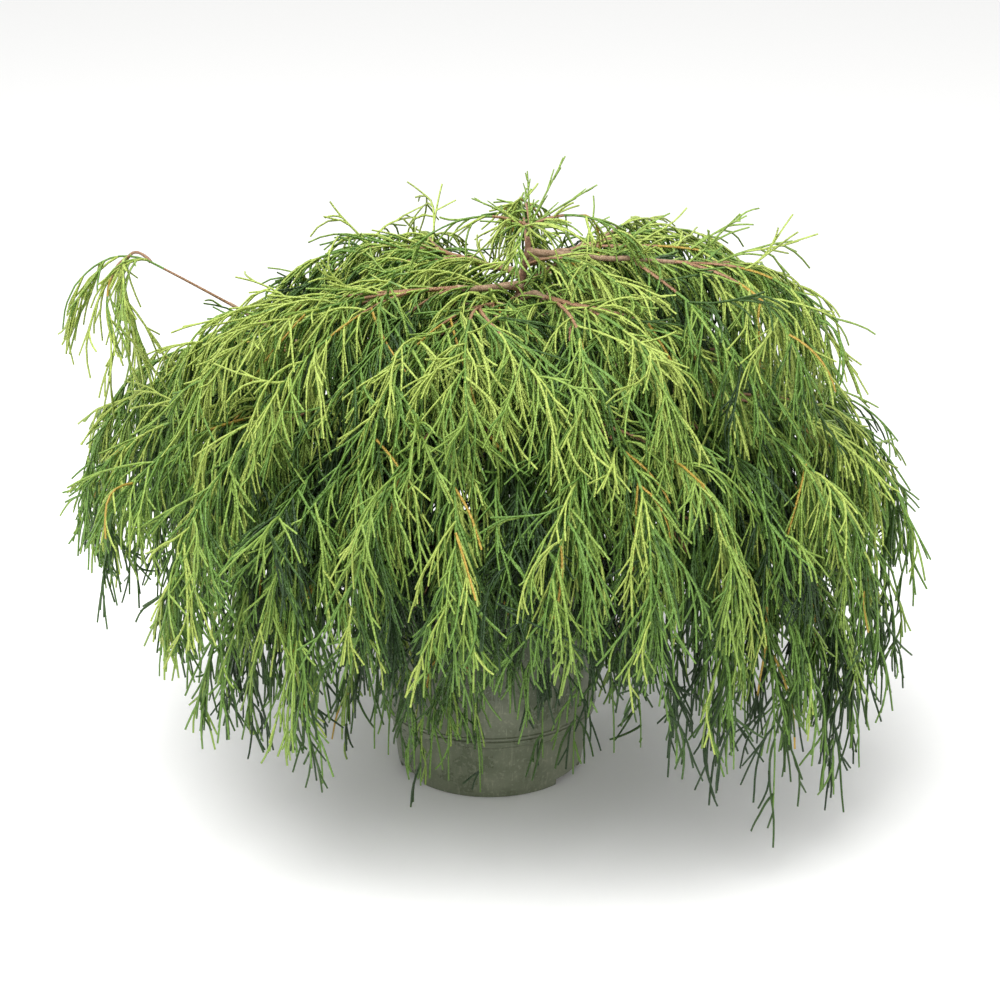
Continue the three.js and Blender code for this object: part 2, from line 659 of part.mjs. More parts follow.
const plant = new THREE.Group();
plant.add(meshOf("pot", buildPot(), potPlastic));
plant.add(meshOf("growing_mix", buildMix(), pottingMix));
plant.add(meshOf("trunk", buildTrunk(0), bark));
const fatTrunk = buildTrunk(CLEARANCE + 0.1);
LIMBS.forEach((limb, i) => {
  plant.add(meshOf("bough_" + limb.name, buildBough(limb, fatTrunk), bark));
  const young = limb.crestHeight > 400;
  plant.add(meshOf("foliage_" + limb.name, buildMass(limb, i + 1), young ? youngFoliage : oldFoliage));
});
plant.add(meshOf("foliage_leader_tuft", buildTuft(), youngFoliage));

export default plant;
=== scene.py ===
"""A potted threadleaf sawara cypress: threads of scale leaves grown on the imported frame, in a moulded pot.

Millimetres while it grows, metres in the meshes. +Z is up and the pot stands on z = 0. Azimuth 0 points right
along +X, 90 away from the viewer along +Y, and 270 towards the viewer.
"""

import math
from types import SimpleNamespace

import bpy
import numpy as np
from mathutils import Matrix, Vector, noise


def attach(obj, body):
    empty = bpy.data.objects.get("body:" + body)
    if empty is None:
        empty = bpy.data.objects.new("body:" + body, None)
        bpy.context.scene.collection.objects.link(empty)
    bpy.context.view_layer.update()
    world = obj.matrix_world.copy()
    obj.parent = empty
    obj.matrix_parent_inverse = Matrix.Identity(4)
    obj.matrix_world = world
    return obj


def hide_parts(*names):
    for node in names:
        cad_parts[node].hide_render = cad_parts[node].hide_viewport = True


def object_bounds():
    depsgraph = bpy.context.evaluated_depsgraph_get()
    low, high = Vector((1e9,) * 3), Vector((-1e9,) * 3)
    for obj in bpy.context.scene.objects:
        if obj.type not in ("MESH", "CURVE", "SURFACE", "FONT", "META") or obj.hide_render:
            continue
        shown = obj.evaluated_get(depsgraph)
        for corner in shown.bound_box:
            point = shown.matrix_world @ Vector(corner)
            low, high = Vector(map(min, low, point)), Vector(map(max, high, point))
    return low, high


bl_info = {
    "name": "Potted Threadleaf Cypress",
    "version": (1, 0, 0),
    "blender": (4, 5, 0),
    "location": "View3D > Sidebar > Cypress",
    "description": "Grows a weeping threadleaf cypress in its nursery pot on the packed frame",
    "category": "Add Mesh",
}

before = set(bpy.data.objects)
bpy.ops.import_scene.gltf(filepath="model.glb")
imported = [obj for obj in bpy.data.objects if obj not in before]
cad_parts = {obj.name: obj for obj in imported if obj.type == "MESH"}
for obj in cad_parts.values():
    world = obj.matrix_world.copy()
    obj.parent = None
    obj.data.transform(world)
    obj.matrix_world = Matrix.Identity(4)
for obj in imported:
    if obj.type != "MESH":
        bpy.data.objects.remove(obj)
CAD_BOX = [list(corner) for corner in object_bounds()]

MM = 0.001
UP = np.array([0.0, 0.0, 1.0])

# Pot: a common two-gallon nursery size.
POT_HEIGHT = 220
POT_FOOT_RADIUS = 92
POT_BAND_LOW = 59
POT_BAND_HIGH = 70
POT_BELOW_BAND_RADIUS = 100
POT_BAND_RADIUS = 105
POT_LIP_RADIUS = 118
POT_RIM_RADIUS = 123
POT_RIM_HEIGHT = 12
POT_WALL = 2
POT_FLOOR = 3
NOTCHES = 3
NOTCH_SWEEP = 30
NOTCH_HEIGHT = 7
NOTCH_DEPTH = 12
NOTCH_STATIONS = 9
FIRST_NOTCH = 330

# Growing mix that fills the pot to just under its rim.
MIX_TOP = 204
MIX_CROWNING = 5
MIX_SIDES = 96
CLEARANCE = 0.3

# Trunk.
TRUNK_FOOT = np.array([-6.0, 4.0, MIX_TOP + MIX_CROWNING + CLEARANCE])
TRUNK_TIP = np.array([38.0, 6.0, 540.0])
TRUNK_BEND = 10
TRUNK_RADIUS = 9.5
TRUNK_TIP_RADIUS = 2.6
TRUNK_FLARE = 4.5
TRUNK_FLARE_HEIGHT = 22
TRUNK_STEPS = 10
FIRST_BOUGH_UP = 16
LAST_BOUGH_DOWN = 14

# Limbs: a bough from the trunk that goes on as the stem of its mass of foliage. A bough has slight kinks, by
# their depth and how many there are to a millimetre, and a collar where it leaves the trunk.
CURVE_STATIONS = 41
LIMB_STATIONS = 22
BRANCH_STATIONS = 20
BOUGH_ROOT_RADIUS = 3.7
BOUGH_THIN = 1.1
BOUGH_KINK_DEPTH = 5.0
BOUGH_KINKS = 0.03
KINK_LAYERS = (0.5, 5.5, 9.5)
BOUGH_COLLAR = 1.6
BOUGH_COLLAR_LENGTH = 9

# Side branches of a limb: hand and start of each, as a share of the stem.
SIDE_FORKS = ((-1, 0.05), (1, 0.14))
SIDE_SAG = 12
SIDE_REACH = 0.98

# Branches that a limb sends into the crown's inside, finer than the source has: spread in degrees, hand,
# start and end as shares of the limb, reach and sag at the end.
INNER_BRANCHES = ((25, 1, 0.2, 0.74, 1, 34), (23, -1, 0.3, 0.82, 0.97, 52))

# Thin wood of branches: its radius at the foot of a side branch and at the ends, and its stations. Bark gives
# way to a young stem at one of them, and that to green at another.
SIDE_WOOD = 2.2
STEM_TIP = 0.9
SIDE_TIP = 0.8
WOOD_STATIONS = 25
WOOD_BARK_END = 9
WOOD_YOUNG_END = 13

# Sprays straight from the trunk between its boughs: how many, the heights of the first and the last, the turn
# from one to the next, and their length, tilt, dip and longest twig.
TRUNK_SPRAYS = 20
TRUNK_SPRAY_LOW = 300
TRUNK_SPRAY_HIGH = 524
TRUNK_SPRAY_TURN = 137.5
TRUNK_SPRAY_LENGTH = 165
TRUNK_SPRAY_TILT = 62
TRUNK_SPRAY_DIP = 1.25
TRUNK_SPRAY_TWIG = 72

# Leader tuft: azimuth, tilt from upright, length and dip of each bare shoot and of each small spray. Then the
# side shoots of a bare one: the step of it that each leaves at, its turn, and its length as a share.
TUFT_SHOOTS = ((12, 26, 74, 0.1), (352, 54, 76, 0.1), (100, 16, 52, 0.1), (186, 58, 62, 0.2))
TUFT_SPRAYS = ((196, 62, 118, 1.3), (262, 64, 112, 1.5), (338, 58, 112, 1.4), (96, 60, 112, 1.4))
TUFT_SIDE_SHOOTS = ((1, 50, 0.34), (3, -46, 0.3), (4, 40, 0.2), (5, -38, 0.14))
TUFT_FOOT = TRUNK_TIP + UP * 10
TUFT_TWIG = 58
TUFT_FULLNESS = 0.45
SHOOT_STEPS = 6
SPRAY_STEPS = 12

# Camera, in metres and degrees: the photograph's own angle.
CAMERA_PLACE = (0.010, -2.4, 1.22)
CAMERA_DOWN = 21.45
CAMERA_LENS = 95.4

# Studio: the floor just under the pot's foot, in millimetres, and each soft box's place and size, in metres.
FLOOR_HALF = 6000
FLOOR_HEIGHT = -0.5
OVERHEAD_BOX = ((-0.5, -0.5, 2.4), 2.2)
FRONT_BOX = ((0.9, -2.6, 1.5), 1.8)
CROWN_MIDDLE = Vector((0, 0, 0.3))

# The three kinds of thread. Steps of its line, range of its lean in degrees, mean and spread of its roll,
# range of its droop, curl, range of its length as a share of the longest, and its thickness at foot and end
# as shares of a thread's. A fork is too short for its droop to vary. The droop of most strands is small, and
# more so with a greater fall.
TWIG = SimpleNamespace(
    steps=7,
    lean=(10, 62),
    roll=(-0.2, 0.75),
    droop=(0.013, 0.052),
    curl=0.085,
    size=(0.5, 1.08),
    thick=(1.05, 0.78),
)
THREAD = SimpleNamespace(
    steps=4,
    lean=(6, 30),
    roll=(0, 0.9),
    droop=(0.018, 0.08),
    curl=0.115,
    size=(0.3, 1.25),
    thick=(0.92, 0.74),
)
FORK = SimpleNamespace(
    steps=1,
    lean=(20, 42),
    roll=(0, 0.3),
    droop=(0.01, 0.01),
    curl=0.05,
    size=(0.5, 1.15),
    thick=(0.84, 0.7),
)
DROOP_FALL = 1.3

# How far threads keep off the pot's wall, and over its rim and fill.
DRAPE_OFF = 3
DRAPE_OVER = 4

# The unevenness of the pitch of twigs, and of threads and forks. Where the first thread of a twig stands, as
# a share of it and in millimetres, and the first fork, in pitches. How long threads and forks may be against
# what carries them.
TWIG_UNEVEN = 0.35
THREAD_UNEVEN = 0.3
FIRST_THREAD = (0.06, 2)
FIRST_FORK = 0.7
THREAD_LONGEST = 0.9
FORK_LONGEST = 0.5

# The plane that a twig's threads part in faces out and up: the height that goes with the reach out, the share
# of the twig's own upward side, and the spread by chance.
FACING_RISE = 160.0
FACING_OVER = 0.5
FACING_SPREAD = 0.4

# How far along a branch its first twig is: on a side branch, on an inner one, on a spray of the trunk or
# tuft, and on a bough, both in the crown and at its top. A bough's twigs are a little shorter.
SIDE_BARE = 0.04
INNER_BARE = 0.1
SPRAY_BARE = 0.1
BOUGH_BARE = 0.3
TOP_BOUGH_BARE = 0.12
BOUGH_TWIG = 0.85

# How full the crown is at the ground against its fullness from the skirt's height up, and how that falls.
SKIRT_FULLNESS = 0.05
SKIRT_HEIGHT = 335
SKIRT_FALL = 2.1

# The share of side threads that the lowest twigs keep, and the heights where the thinning ends and starts.
FRINGE_THREADS = 0.35
FRINGE_LOW = 60
FRINGE_HIGH = 290

# Inner sprays: how full they are, and how much less painted light they get, which paints shade into them.
INNER_FULLNESS = 0.8
INNER_PAINTED_LIGHT = -0.34

# The far limb: how full it is, how far out along it the first twig is, how far its side branches reach
# against it, and how much more painted light its tints get.
FAR_FULLNESS = 0.4
FAR_BARE = 0.36
FAR_SIDE_REACH = 0.86
FAR_PAINTED_LIGHT = 0.25

# The limbs that hang over the pot, how full and how bright by painted light, and the fringes beside it, how
# full.
POT_FULLNESS = 2.6
POT_PAINTED_LIGHT = 0.5
LOW_FULLNESS = 2.2

# Young twigs high in the crown are springy and arch far out: how fast they bend down, against those that hang
# low, and the heights from which and to which that changes.
TOP_SPRING = 0.62
SPRING_LOW = 260
SPRING_HIGH = 430

# Share of the branches that show a golden stretch of young stem.
GOLDEN_BRANCHES = 0.18

# How far threads may pass the frame's box, and the crown's hem: its lowest height, and where it is higher,
# as azimuth and width, rise, and reach and depth. The first two lift it on the left and at the right edge,
# and the narrow ones are the gaps beside the pot.
ROOM_SLACK = 6
HEM_LOWEST = 3.0
HEM_SLACK = 0.8
HEM_RISES = (
    (201, 34, 335, 420, 120),
    (352, 42, 240, 440, 38),
    (313, 14, 170, 215, 80),
    (230, 5, 230, 190, 90),
)

# A twig that would pass the hem is cut to end about there: the ranges of the hem's unevenness and of the cut,
# the room it keeps over the hem, and the least share of the twig that is left.
HEM_UNEVEN = (0.8, 1.15)
HEM_CUT = (0.8, 1)
HEM_ROOM = 3
HEM_LEFT = 0.15

# The crown as an ellipsoid, for the painted light that reaches into it. Then what a spray's painted light
# comes from: its height and how far out it is, with the spans over which they count, whether it lies on top,
# and chance. High, outer sprays on top get painted light; low and inner ones get painted shade.
CROWN_HEART = np.array([0.0, 0.0, 130.0])
CROWN_REACH = np.array([425.0, 395.0, 430.0])
LIGHT_LOW = 40
LIGHT_RISE = 440
LIGHT_WITHIN = 0.45
LIGHT_DEPTH = 0.5
LIGHT_OF_HEIGHT = 0.46
LIGHT_OF_OUTSIDE = 0.5
LIGHT_ON_TOP = 0.13
LIGHT_SPREAD = 0.16

# The plain colours of threads, carrying painted light and shade: the least painted light of each green but
# the darkest, and the share of a twig's threads that are one green brighter at its end, or darker at its
# foot.
TINTS = ("gold", "lime", "fresh", "deep", "shade", "stem", "twig_bark")
GOLD, LIME, FRESH, DEEP, SHADE, STEM, TWIG_BARK = range(len(TINTS))
TINT_LIGHTS = (0.96, 0.77, 0.53, 0.3)
TINT_MIXING = 0.3

# Bark relief: how often strips, grain and knots recur round and along a limb, for each millimetre.
BARK_STRIPS = (0.42, 0.05)
BARK_GRAIN = (1.3, 0.16)
BARK_KNOTS = (0.12, 0.07)
TRUNK_STATIONS = 150
TRUNK_SIDES = 32
BOUGH_SIDES = 10
BOUGH_STATION_PITCH = 4
BOUGH_RELIEF = 0.8

# Crumbs of the mix's top: how often they recur for each millimetre, their seed and their height. Then the
# reach where the crumbs end, at the wall, and the chips' bed and the corners of one chip, below and above.
CRUMBS = ((0.09, 2, 2.2), (0.35, 5, 1.1))
CRUMB_EDGE = 112
CRUMB_EASE = 12
CHIP_BED = ((0, MIX_TOP + MIX_CROWNING + 1), (60, MIX_TOP + 4.5), (106, MIX_TOP + 1))
CHIP_BELOW = ((-3.4, -1.5, -0.6), (3.2, -1.9, -0.5), (3.9, 1.2, -0.7), (-2.6, 1.9, -0.4))
CHIP_ABOVE = ((-2.9, -1.1, 0.7), (2.6, -1.3, 0.9), (3.1, 0.8, 0.6), (-2.2, 1.4, 0.8))


# The plant's lines, by the source's rule


def polar(azimuth, reach, height):
    """A point at a reach from the pot's axis, on an azimuth, at a height."""
    turn = math.radians(azimuth)
    return np.array([reach * math.cos(turn), reach * math.sin(turn), height])


def stream(seed):
    """A seeded stream of numbers between 0 and 1, the same on every run."""
    state = seed * 7919 + 104729

    def following():
        nonlocal state
        state = state * 48271 % 2147483647
        return state / 2147483647

    for _ in range(4):
        following()
    return following


def around(draw, middle, spread):
    """A value spread evenly either side of a middle."""
    return middle + (2 * draw() - 1) * spread


def mix(a, b, share):
    """The value at a share of the way from one to another."""
    return a + (b - a) * share


def unit(vectors):
    """Vectors of the same directions, one long."""
    return vectors / np.maximum(np.linalg.norm(vectors, axis=-1, keepdims=True), 1e-9)


def length_of(points):
    """A line's length."""
    return np.linalg.norm(np.diff(points, axis=0), axis=1).sum()


def evenly(points, count):
    """The same line as evenly spaced points."""
    steps = np.linalg.norm(np.diff(points, axis=0), axis=1)
    reached = np.concatenate([[0.0], np.cumsum(steps)])
    at = np.linspace(0, reached[-1], count)
    return np.stack([np.interp(at, reached, points[:, axis]) for axis in range(3)], axis=1)


def heading(points, i):
    """The direction of a line at one of its points."""
    return unit(points[min(len(points) - 1, i + 1)] - points[max(0, i - 1)])


def bezier(*controls):
    """Points of the curve with these control points."""
    share = np.linspace(0, 1, CURVE_STATIONS)[:, None]
    rows = [np.broadcast_to(c, (CURVE_STATIONS, 3)) for c in controls]
    while len(rows) > 1:
        rows = [a + (b - a) * share for a, b in zip(rows, rows[1:])]
    return rows[0]


def trunk_line():
    """The trunk's axis: it leans right and bows a little on the way."""
    bow = mix(TRUNK_FOOT, TRUNK_TIP, 0.45) + np.array([-TRUNK_BEND, -TRUNK_BEND, 0])
    return evenly(bezier(TRUNK_FOOT, bow, TRUNK_TIP), TRUNK_STEPS + 1)


def ring(count, shape, quarters):
    """A ring of like limbs, evenly turned about the trunk from the shape's own azimuth, with a seeded
    unevenness. Near some quarters of the plant they take another shape: (azimuth of the quarter, its width,
    the shape there)."""
    first = shape["azimuth"]
    draw = stream(first + count)
    limbs = []
    for i in range(count):
        azimuth = around(draw, first + 360 / count * i, 4)
        limb = dict(shape, name=f"{shape['name']}_{i + 1}", azimuth=azimuth, swing=around(draw, 0, 8))
        for quarter, width, other in quarters:
            off = (azimuth - quarter + 540) % 360 - 180
            near = math.exp(-((off / width) ** 2))
            for key, value in other.items():
                limb[key] = mix(limb[key], value, near)
        for key, spread in (("crest_reach", 11), ("crest_height", 8), ("tip_reach", 8), ("tip_height", 9)):
            limb[key] = around(draw, limb[key], spread)
        limbs.append(limb)
    return limbs


def single(name, azimuth, swing, crest, tip, bare, twig, spread, sag=0):
    """One limb of its own shape: crest and tip are (reach, height), bare is the share that is bough, twig its
    longest twig, spread how far its side branches part in degrees, and sag how far it hangs on its way up."""
    shape = dict(crest_reach=crest[0], crest_height=crest[1], tip_reach=tip[0], tip_height=tip[1])
    return dict(shape, name=name, azimuth=azimuth, swing=swing, bare=bare, twig=twig, spread=spread, sag=sag)


def limb_shapes():
    """The shapes of all limbs, from the outer curtain inwards and down."""
    upper_quarters = (
        (272, 38, dict(crest_reach=180, tip_reach=325, tip_height=295)),
        (188, 32, dict(crest_height=394, tip_reach=400, tip_height=328)),
        (90, 50, dict(crest_height=446, tip_height=296)),
        (8, 38, dict(crest_reach=206, crest_height=392, tip_reach=402)),
    )
    middle_quarters = (
        (272, 36, dict(crest_reach=150, tip_reach=245, tip_height=228)),
        (188, 34, dict(tip_reach=334, tip_height=214)),
        (352, 30, dict(tip_reach=402, tip_height=134)),
    )
    return [
        *ring(8, single("upper", 342, 0, (240, 414), (410, 272), 0.3, 122, 15), upper_quarters),
        *ring(8, single("middle", 5, 0, (235, 322), (396, 150), 0.34, 118, 15), middle_quarters),
        single("top_front_left", 262, 4, (104, 500), (250, 420), 0.2, 104, 20),
        single("top_front_right", 314, -6, (112, 500), (265, 420), 0.2, 104, 20),
        single("top_left", 214, -6, (130, 506), (298, 428), 0.18, 108, 18),
        single("top_right", 352, -4, (205, 524), (322, 448), 0.42, 94, 14),
        single("top_back_right", 38, 3, (172, 514), (318, 446), 0.18, 108, 20),
        single("top_back_left", 126, -6, (112, 508), (285, 416), 0.18, 108, 20),
        single("far_left", 180, 3, (334, 526), (402, 458), 0.58, 104, 9, 70),
        single("low_left", 216, 2, (200, 256), (282, 118), 0.42, 88, 12),
        single("pot_left", 236, -4, (138, 262), (178, 78), 0.42, 66, 14),
        single("pot_front", 257, 0, (132, 268), (171, 58), 0.42, 62, 10),
        single("pot_right", 306, 4, (140, 264), (184, 74), 0.42, 66, 14),
        single("low_right", 334, -3, (240, 276), (368, 84), 0.4, 96, 15),
    ]


def trunk_at(height, line):
    """The trunk's axis at a height."""
    return np.array([np.interp(height, line[:, 2], line[:, axis]) for axis in range(3)])


def limb_line(shape, root):
    """A limb's line: up and out to its crest, then over and down to its tip."""
    out = polar(shape["azimuth"], 1, 0)
    crest = polar(shape["azimuth"], shape["crest_reach"], shape["crest_height"])
    tip = polar(shape["azimuth"] + shape["swing"], shape["tip_reach"], shape["tip_height"])
    climb = shape["crest_height"] - root[2]
    fall = shape["crest_height"] - shape["tip_height"]
    spread = shape["tip_reach"] - shape["crest_reach"]
    sag = UP * shape["sag"]
    rise_handle = root + out * 0.3 * shape["crest_reach"] + UP * 0.45 * climb - sag
    rise = bezier(root, rise_handle, crest - out * 0.4 * shape["crest_reach"] - sag, crest)
    weep = bezier(crest, crest + out * 0.6 * spread, tip + UP * 0.55 * fall, tip)
    return evenly(np.concatenate([rise, weep[1:]]), LIMB_STATIONS)


def side_branch(line, spread, hand, start, end=1, reach=SIDE_REACH, sag=SIDE_SAG):
    """A side branch: it leaves a line at its start share, then runs beside it, a little lower and shorter."""
    steps = CURVE_STATIONS - 1
    main = evenly(line, CURVE_STATIONS)[round(start * steps) : round(end * steps) + 1]
    share = np.linspace(0, 1, len(main))
    turn = hand * math.radians(spread) * (1 - (1 - share) ** 2.2)
    reach = mix(1, reach, share)
    turned = np.stack(
        [
            (main[:, 0] * np.cos(turn) - main[:, 1] * np.sin(turn)) * reach,
            (main[:, 0] * np.sin(turn) + main[:, 1] * np.cos(turn)) * reach,
            main[:, 2] - sag * share,
        ],
        axis=1,
    )
    return evenly(turned, BRANCH_STATIONS)


def limb_size(share):
    """A limb's radius at a share of its length."""
    return mix(BOUGH_ROOT_RADIUS, BOUGH_THIN, np.minimum(1, np.asarray(share) * 1.25) ** 0.8)


def grow_limbs():
    """Every limb with its lines. Limbs leave the trunk one above the other, in the order of their crests, and
    lower where they sag."""
    trunk = trunk_line()
    shapes = limb_shapes()
    order = sorted(shapes, key=lambda shape: shape["crest_height"] - 2 * shape["sag"])
    low, high = TRUNK_FOOT[2] + FIRST_BOUGH_UP, TRUNK_TIP[2] - LAST_BOUGH_DOWN
    heights = {shape["name"]: mix(low, high, i / (len(order) - 1)) for i, shape in enumerate(order)}
    limbs = []
    for shape in shapes:
        line = limb_line(shape, trunk_at(heights[shape["name"]], trunk))
        split = round(shape["bare"] * (LIMB_STATIONS - 1))
        stem = evenly(line[split:], BRANCH_STATIONS)
        late, reach = (FAR_BARE, FAR_SIDE_REACH) if shape["name"] == "far_left" else (0, SIDE_REACH)
        forks = [(hand, start + late, 1, reach) for hand, start in SIDE_FORKS]
        sides = [side_branch(stem, shape["spread"], *fork) for fork in forks]
        inner = [side_branch(line, *branch) for branch in INNER_BRANCHES]
        limbs.append(
            SimpleNamespace(
                name=shape["name"],
                bough=line[: split + 1],
                bare=split / (LIMB_STATIONS - 1),
                stem=stem,
                sides=sides,
                inner=inner,
                twig=shape["twig"],
            )
        )
    return limbs


def tuft_shoot(foot, azimuth, tilt, length, dip, steps):
    """A shoot of the leader tuft: it sets off in a direction and leans over with its length."""
    lean = math.radians(tilt)
    course = polar(azimuth, math.sin(lean), math.cos(lean))
    line = [foot]
    for _ in range(steps):
        line.append(line[-1] + course * length / steps)
        course = unit(course - UP * dip / steps)
    return np.array(line)


# Threads


def pot_radius(height):
    """The pot's outer radius at a height."""
    below = mix(POT_FOOT_RADIUS, POT_BELOW_BAND_RADIUS, np.clip(height / POT_BAND_LOW, 0, 1))
    share = np.clip((height - POT_BAND_LOW) / (POT_HEIGHT - POT_BAND_LOW), 0, 1)
    wall = np.where(height < POT_BAND_LOW, below, mix(POT_BAND_RADIUS, POT_LIP_RADIUS, share))
    return np.where(height > POT_HEIGHT - POT_RIM_HEIGHT - 2, POT_RIM_RADIUS, wall)


def drape(points):
    """Points moved off the pot and its fill, so that what hangs there lies over the rim or by the wall."""
    reach = np.hypot(points[:, 0], points[:, 1])
    wall = pot_radius(points[:, 2]) + DRAPE_OFF
    top = POT_HEIGHT + DRAPE_OVER
    beside = (points[:, 2] < top) & (reach < wall) & (reach > POT_FOOT_RADIUS)
    over = (points[:, 2] < top) & (reach <= POT_FOOT_RADIUS)
    push = np.where(beside, wall / np.maximum(reach, 1), 1)
    height = np.where(over, top, points[:, 2])
    return np.stack([points[:, 0] * push, points[:, 1] * push, height], axis=1)


def along(lines, share):
    """The point at a share of each line, and the line's heading there."""
    steps = lines.shape[1] - 1
    place = np.clip(share, 0, 1) * steps
    low = np.minimum(place.astype(int), steps - 1)
    rows = np.arange(len(lines))
    start, end = lines[rows, low], lines[rows, low + 1]
    return start + (end - start) * (place - low)[:, None], unit(end - start)


def weep(start, course, length, kind, weight, rng):
    """Strands of a kind that set off on a course and bend down under their own weight, each with its own
    slight curl."""
    points = [start]
    step = (length / kind.steps)[:, None]
    curl = rng.normal(0, kind.curl, course.shape)
    for _ in range(kind.steps):
        stir = rng.normal(0, kind.curl / 2, course.shape)
        course = unit(course - UP * weight[:, None] * step + curl + stir)
        points.append(drape(points[-1] + course * step))
    return np.stack(points, axis=1)


def hem(points):
    """The height that the crown's hem hangs to at these points: near the ground, and higher on its left and
    at the gaps beside the pot."""
    azimuth = np.degrees(np.arctan2(points[..., 1], points[..., 0]))
    reach = np.hypot(points[..., 0], points[..., 1])
    height = np.full(reach.shape, HEM_LOWEST)
    for middle, width, rise, reached, depth in HEM_RISES:
        turn = (azimuth - middle + 180) % 360 - 180
        height += rise * np.exp(-((turn / width) ** 2) - ((reach - reached) / depth) ** 2)
    return height


def inside_room(lines):
    """Which lines keep to the room that the frame gives them, and above the crown's hem by a share of it."""
    low = np.array(CAD_BOX[0]) / MM - ROOM_SLACK
    high = np.array(CAD_BOX[1]) / MM + ROOM_SLACK
    low[2] = HEM_LOWEST
    inside = ((lines > low) & (lines < high)).all(axis=2)
    return (inside & (lines[..., 2] > hem(lines) * HEM_SLACK)).all(axis=1)


def taper(count, steps, radius, foot, end):
    """Radii that fall evenly from the foot of each strand to its end, both as shares of a radius."""
    return np.broadcast_to(np.linspace(radius * foot, radius * end, steps + 1), (count, steps + 1))


def alternate(total, pitch, first, rng):
    """Where threads stand on lines of these lengths: the line of each, its order on it and its share."""
    counts = np.maximum(0, ((total - first) / pitch).astype(int))
    parent = np.repeat(np.arange(len(total)), counts)
    order = np.concatenate([np.arange(c) for c in counts]) if len(counts) else np.zeros(0, int)
    foot = np.broadcast_to(first, total.shape)[parent]
    place = foot + (order + rng.uniform(-THREAD_UNEVEN, THREAD_UNEVEN, len(order))) * pitch
    return parent, order, place / np.maximum(total[parent], 1)


def shoot_length(share):
    """How long a twig may be at a share of its branch: longest near the middle."""
    return 0.55 + 0.45 * np.sin(np.pi * np.minimum(1, 0.16 + 0.84 * share))


def tints_of_painted_light(place, lift, painted_light, rng):
    """The tint of each spray, with painted light and shade: painted light high up, far out and on top of its
    branch, and painted shade low down and within. painted_light adds to the painted light of a whole branch."""
    height = np.clip((place[:, 2] - LIGHT_LOW) / LIGHT_RISE, 0, 1)
    reach = np.linalg.norm((place - CROWN_HEART) / CROWN_REACH, axis=1)
    outside = np.clip((reach - LIGHT_WITHIN) / LIGHT_DEPTH, 0, 1)
    light = LIGHT_OF_HEIGHT * height + LIGHT_OF_OUTSIDE * outside + LIGHT_ON_TOP * lift
    return np.digitize(light + rng.normal(painted_light, LIGHT_SPREAD, len(place)), TINT_LIGHTS)


def part(course, beside, normal, hand, kind, rng):
    """Courses that part from a line to one hand of it by the lean of a kind of thread, and rolled about it by
    chance. Also returns how far each rose or fell from the plane that it parted in, from 1 to -1."""
    turn = rng.normal(*kind.roll, len(course))
    out = beside * (hand * np.cos(turn))[:, None] + normal * np.sin(turn)[:, None]
    angle = np.radians(rng.uniform(*kind.lean, len(course)))[:, None]
    return course * np.cos(angle) + out * np.sin(angle), np.sin(turn)


def droop(kind, foot, rng):
    """How fast each strand of a kind bends down: most are springy, and some soon hang straight. High in the
    crown they bend less."""
    spring = mix(1, TOP_SPRING, np.clip((foot[:, 2] - SPRING_LOW) / (SPRING_HIGH - SPRING_LOW), 0, 1))
    return mix(*kind.droop, rng.uniform(size=len(foot)) ** DROOP_FALL) * spring


def grow_twigs(branch, longest, bare, pitch, fullness, rng):
    """Twigs to the left and right of a branch in turn, fewer where it hangs low. One that would pass the
    crown's hem is grown again, shorter. Returns their lines, lengths, upward sides, and how far each lies
    on top of its branch."""
    total = length_of(branch)
    starts = np.arange(bare * total, total - 3, pitch)
    starts = starts + rng.uniform(-TWIG_UNEVEN, TWIG_UNEVEN, len(starts)) * pitch
    share = np.clip(starts / total, 0, 0.999)
    foot, course = along(np.broadcast_to(branch, (len(share), *branch.shape)), share)
    across = unit(np.cross(branch[-1] - branch[0], UP))
    right = unit(across - course * (course @ across)[:, None])
    over = np.cross(right, course)
    hand = np.where(np.arange(len(share)) % 2, 1.0, -1.0)
    course, lift = part(course, right, over, hand, TWIG, rng)
    length = longest * shoot_length(share) * rng.uniform(*TWIG.size, len(share))
    weight = droop(TWIG, foot, rng)
    state = rng.bit_generator.state
    twigs = weep(foot, course, length, TWIG, weight, rng)
    lowest = twigs[:, :, 2].min(axis=1)
    limit = hem(twigs[:, -1]) * rng.uniform(*HEM_UNEVEN, len(length)) + HEM_ROOM
    room = np.clip((foot[:, 2] - limit) / np.maximum(foot[:, 2] - lowest, 1), HEM_LEFT, 1)
    length = np.where(lowest < limit, length * room * rng.uniform(*HEM_CUT, len(length)), length)
    rng.bit_generator.state = state
    twigs = weep(foot, course, length, TWIG, weight, rng)
    rise = np.clip(foot[:, 2] / SKIRT_HEIGHT, 0, 1)
    fullness = fullness * mix(SKIRT_FULLNESS, 1, rise**SKIRT_FALL)
    kept = inside_room(twigs) & (rng.uniform(size=len(twigs)) < fullness)
    return twigs[kept], length[kept], over[kept], lift[kept]


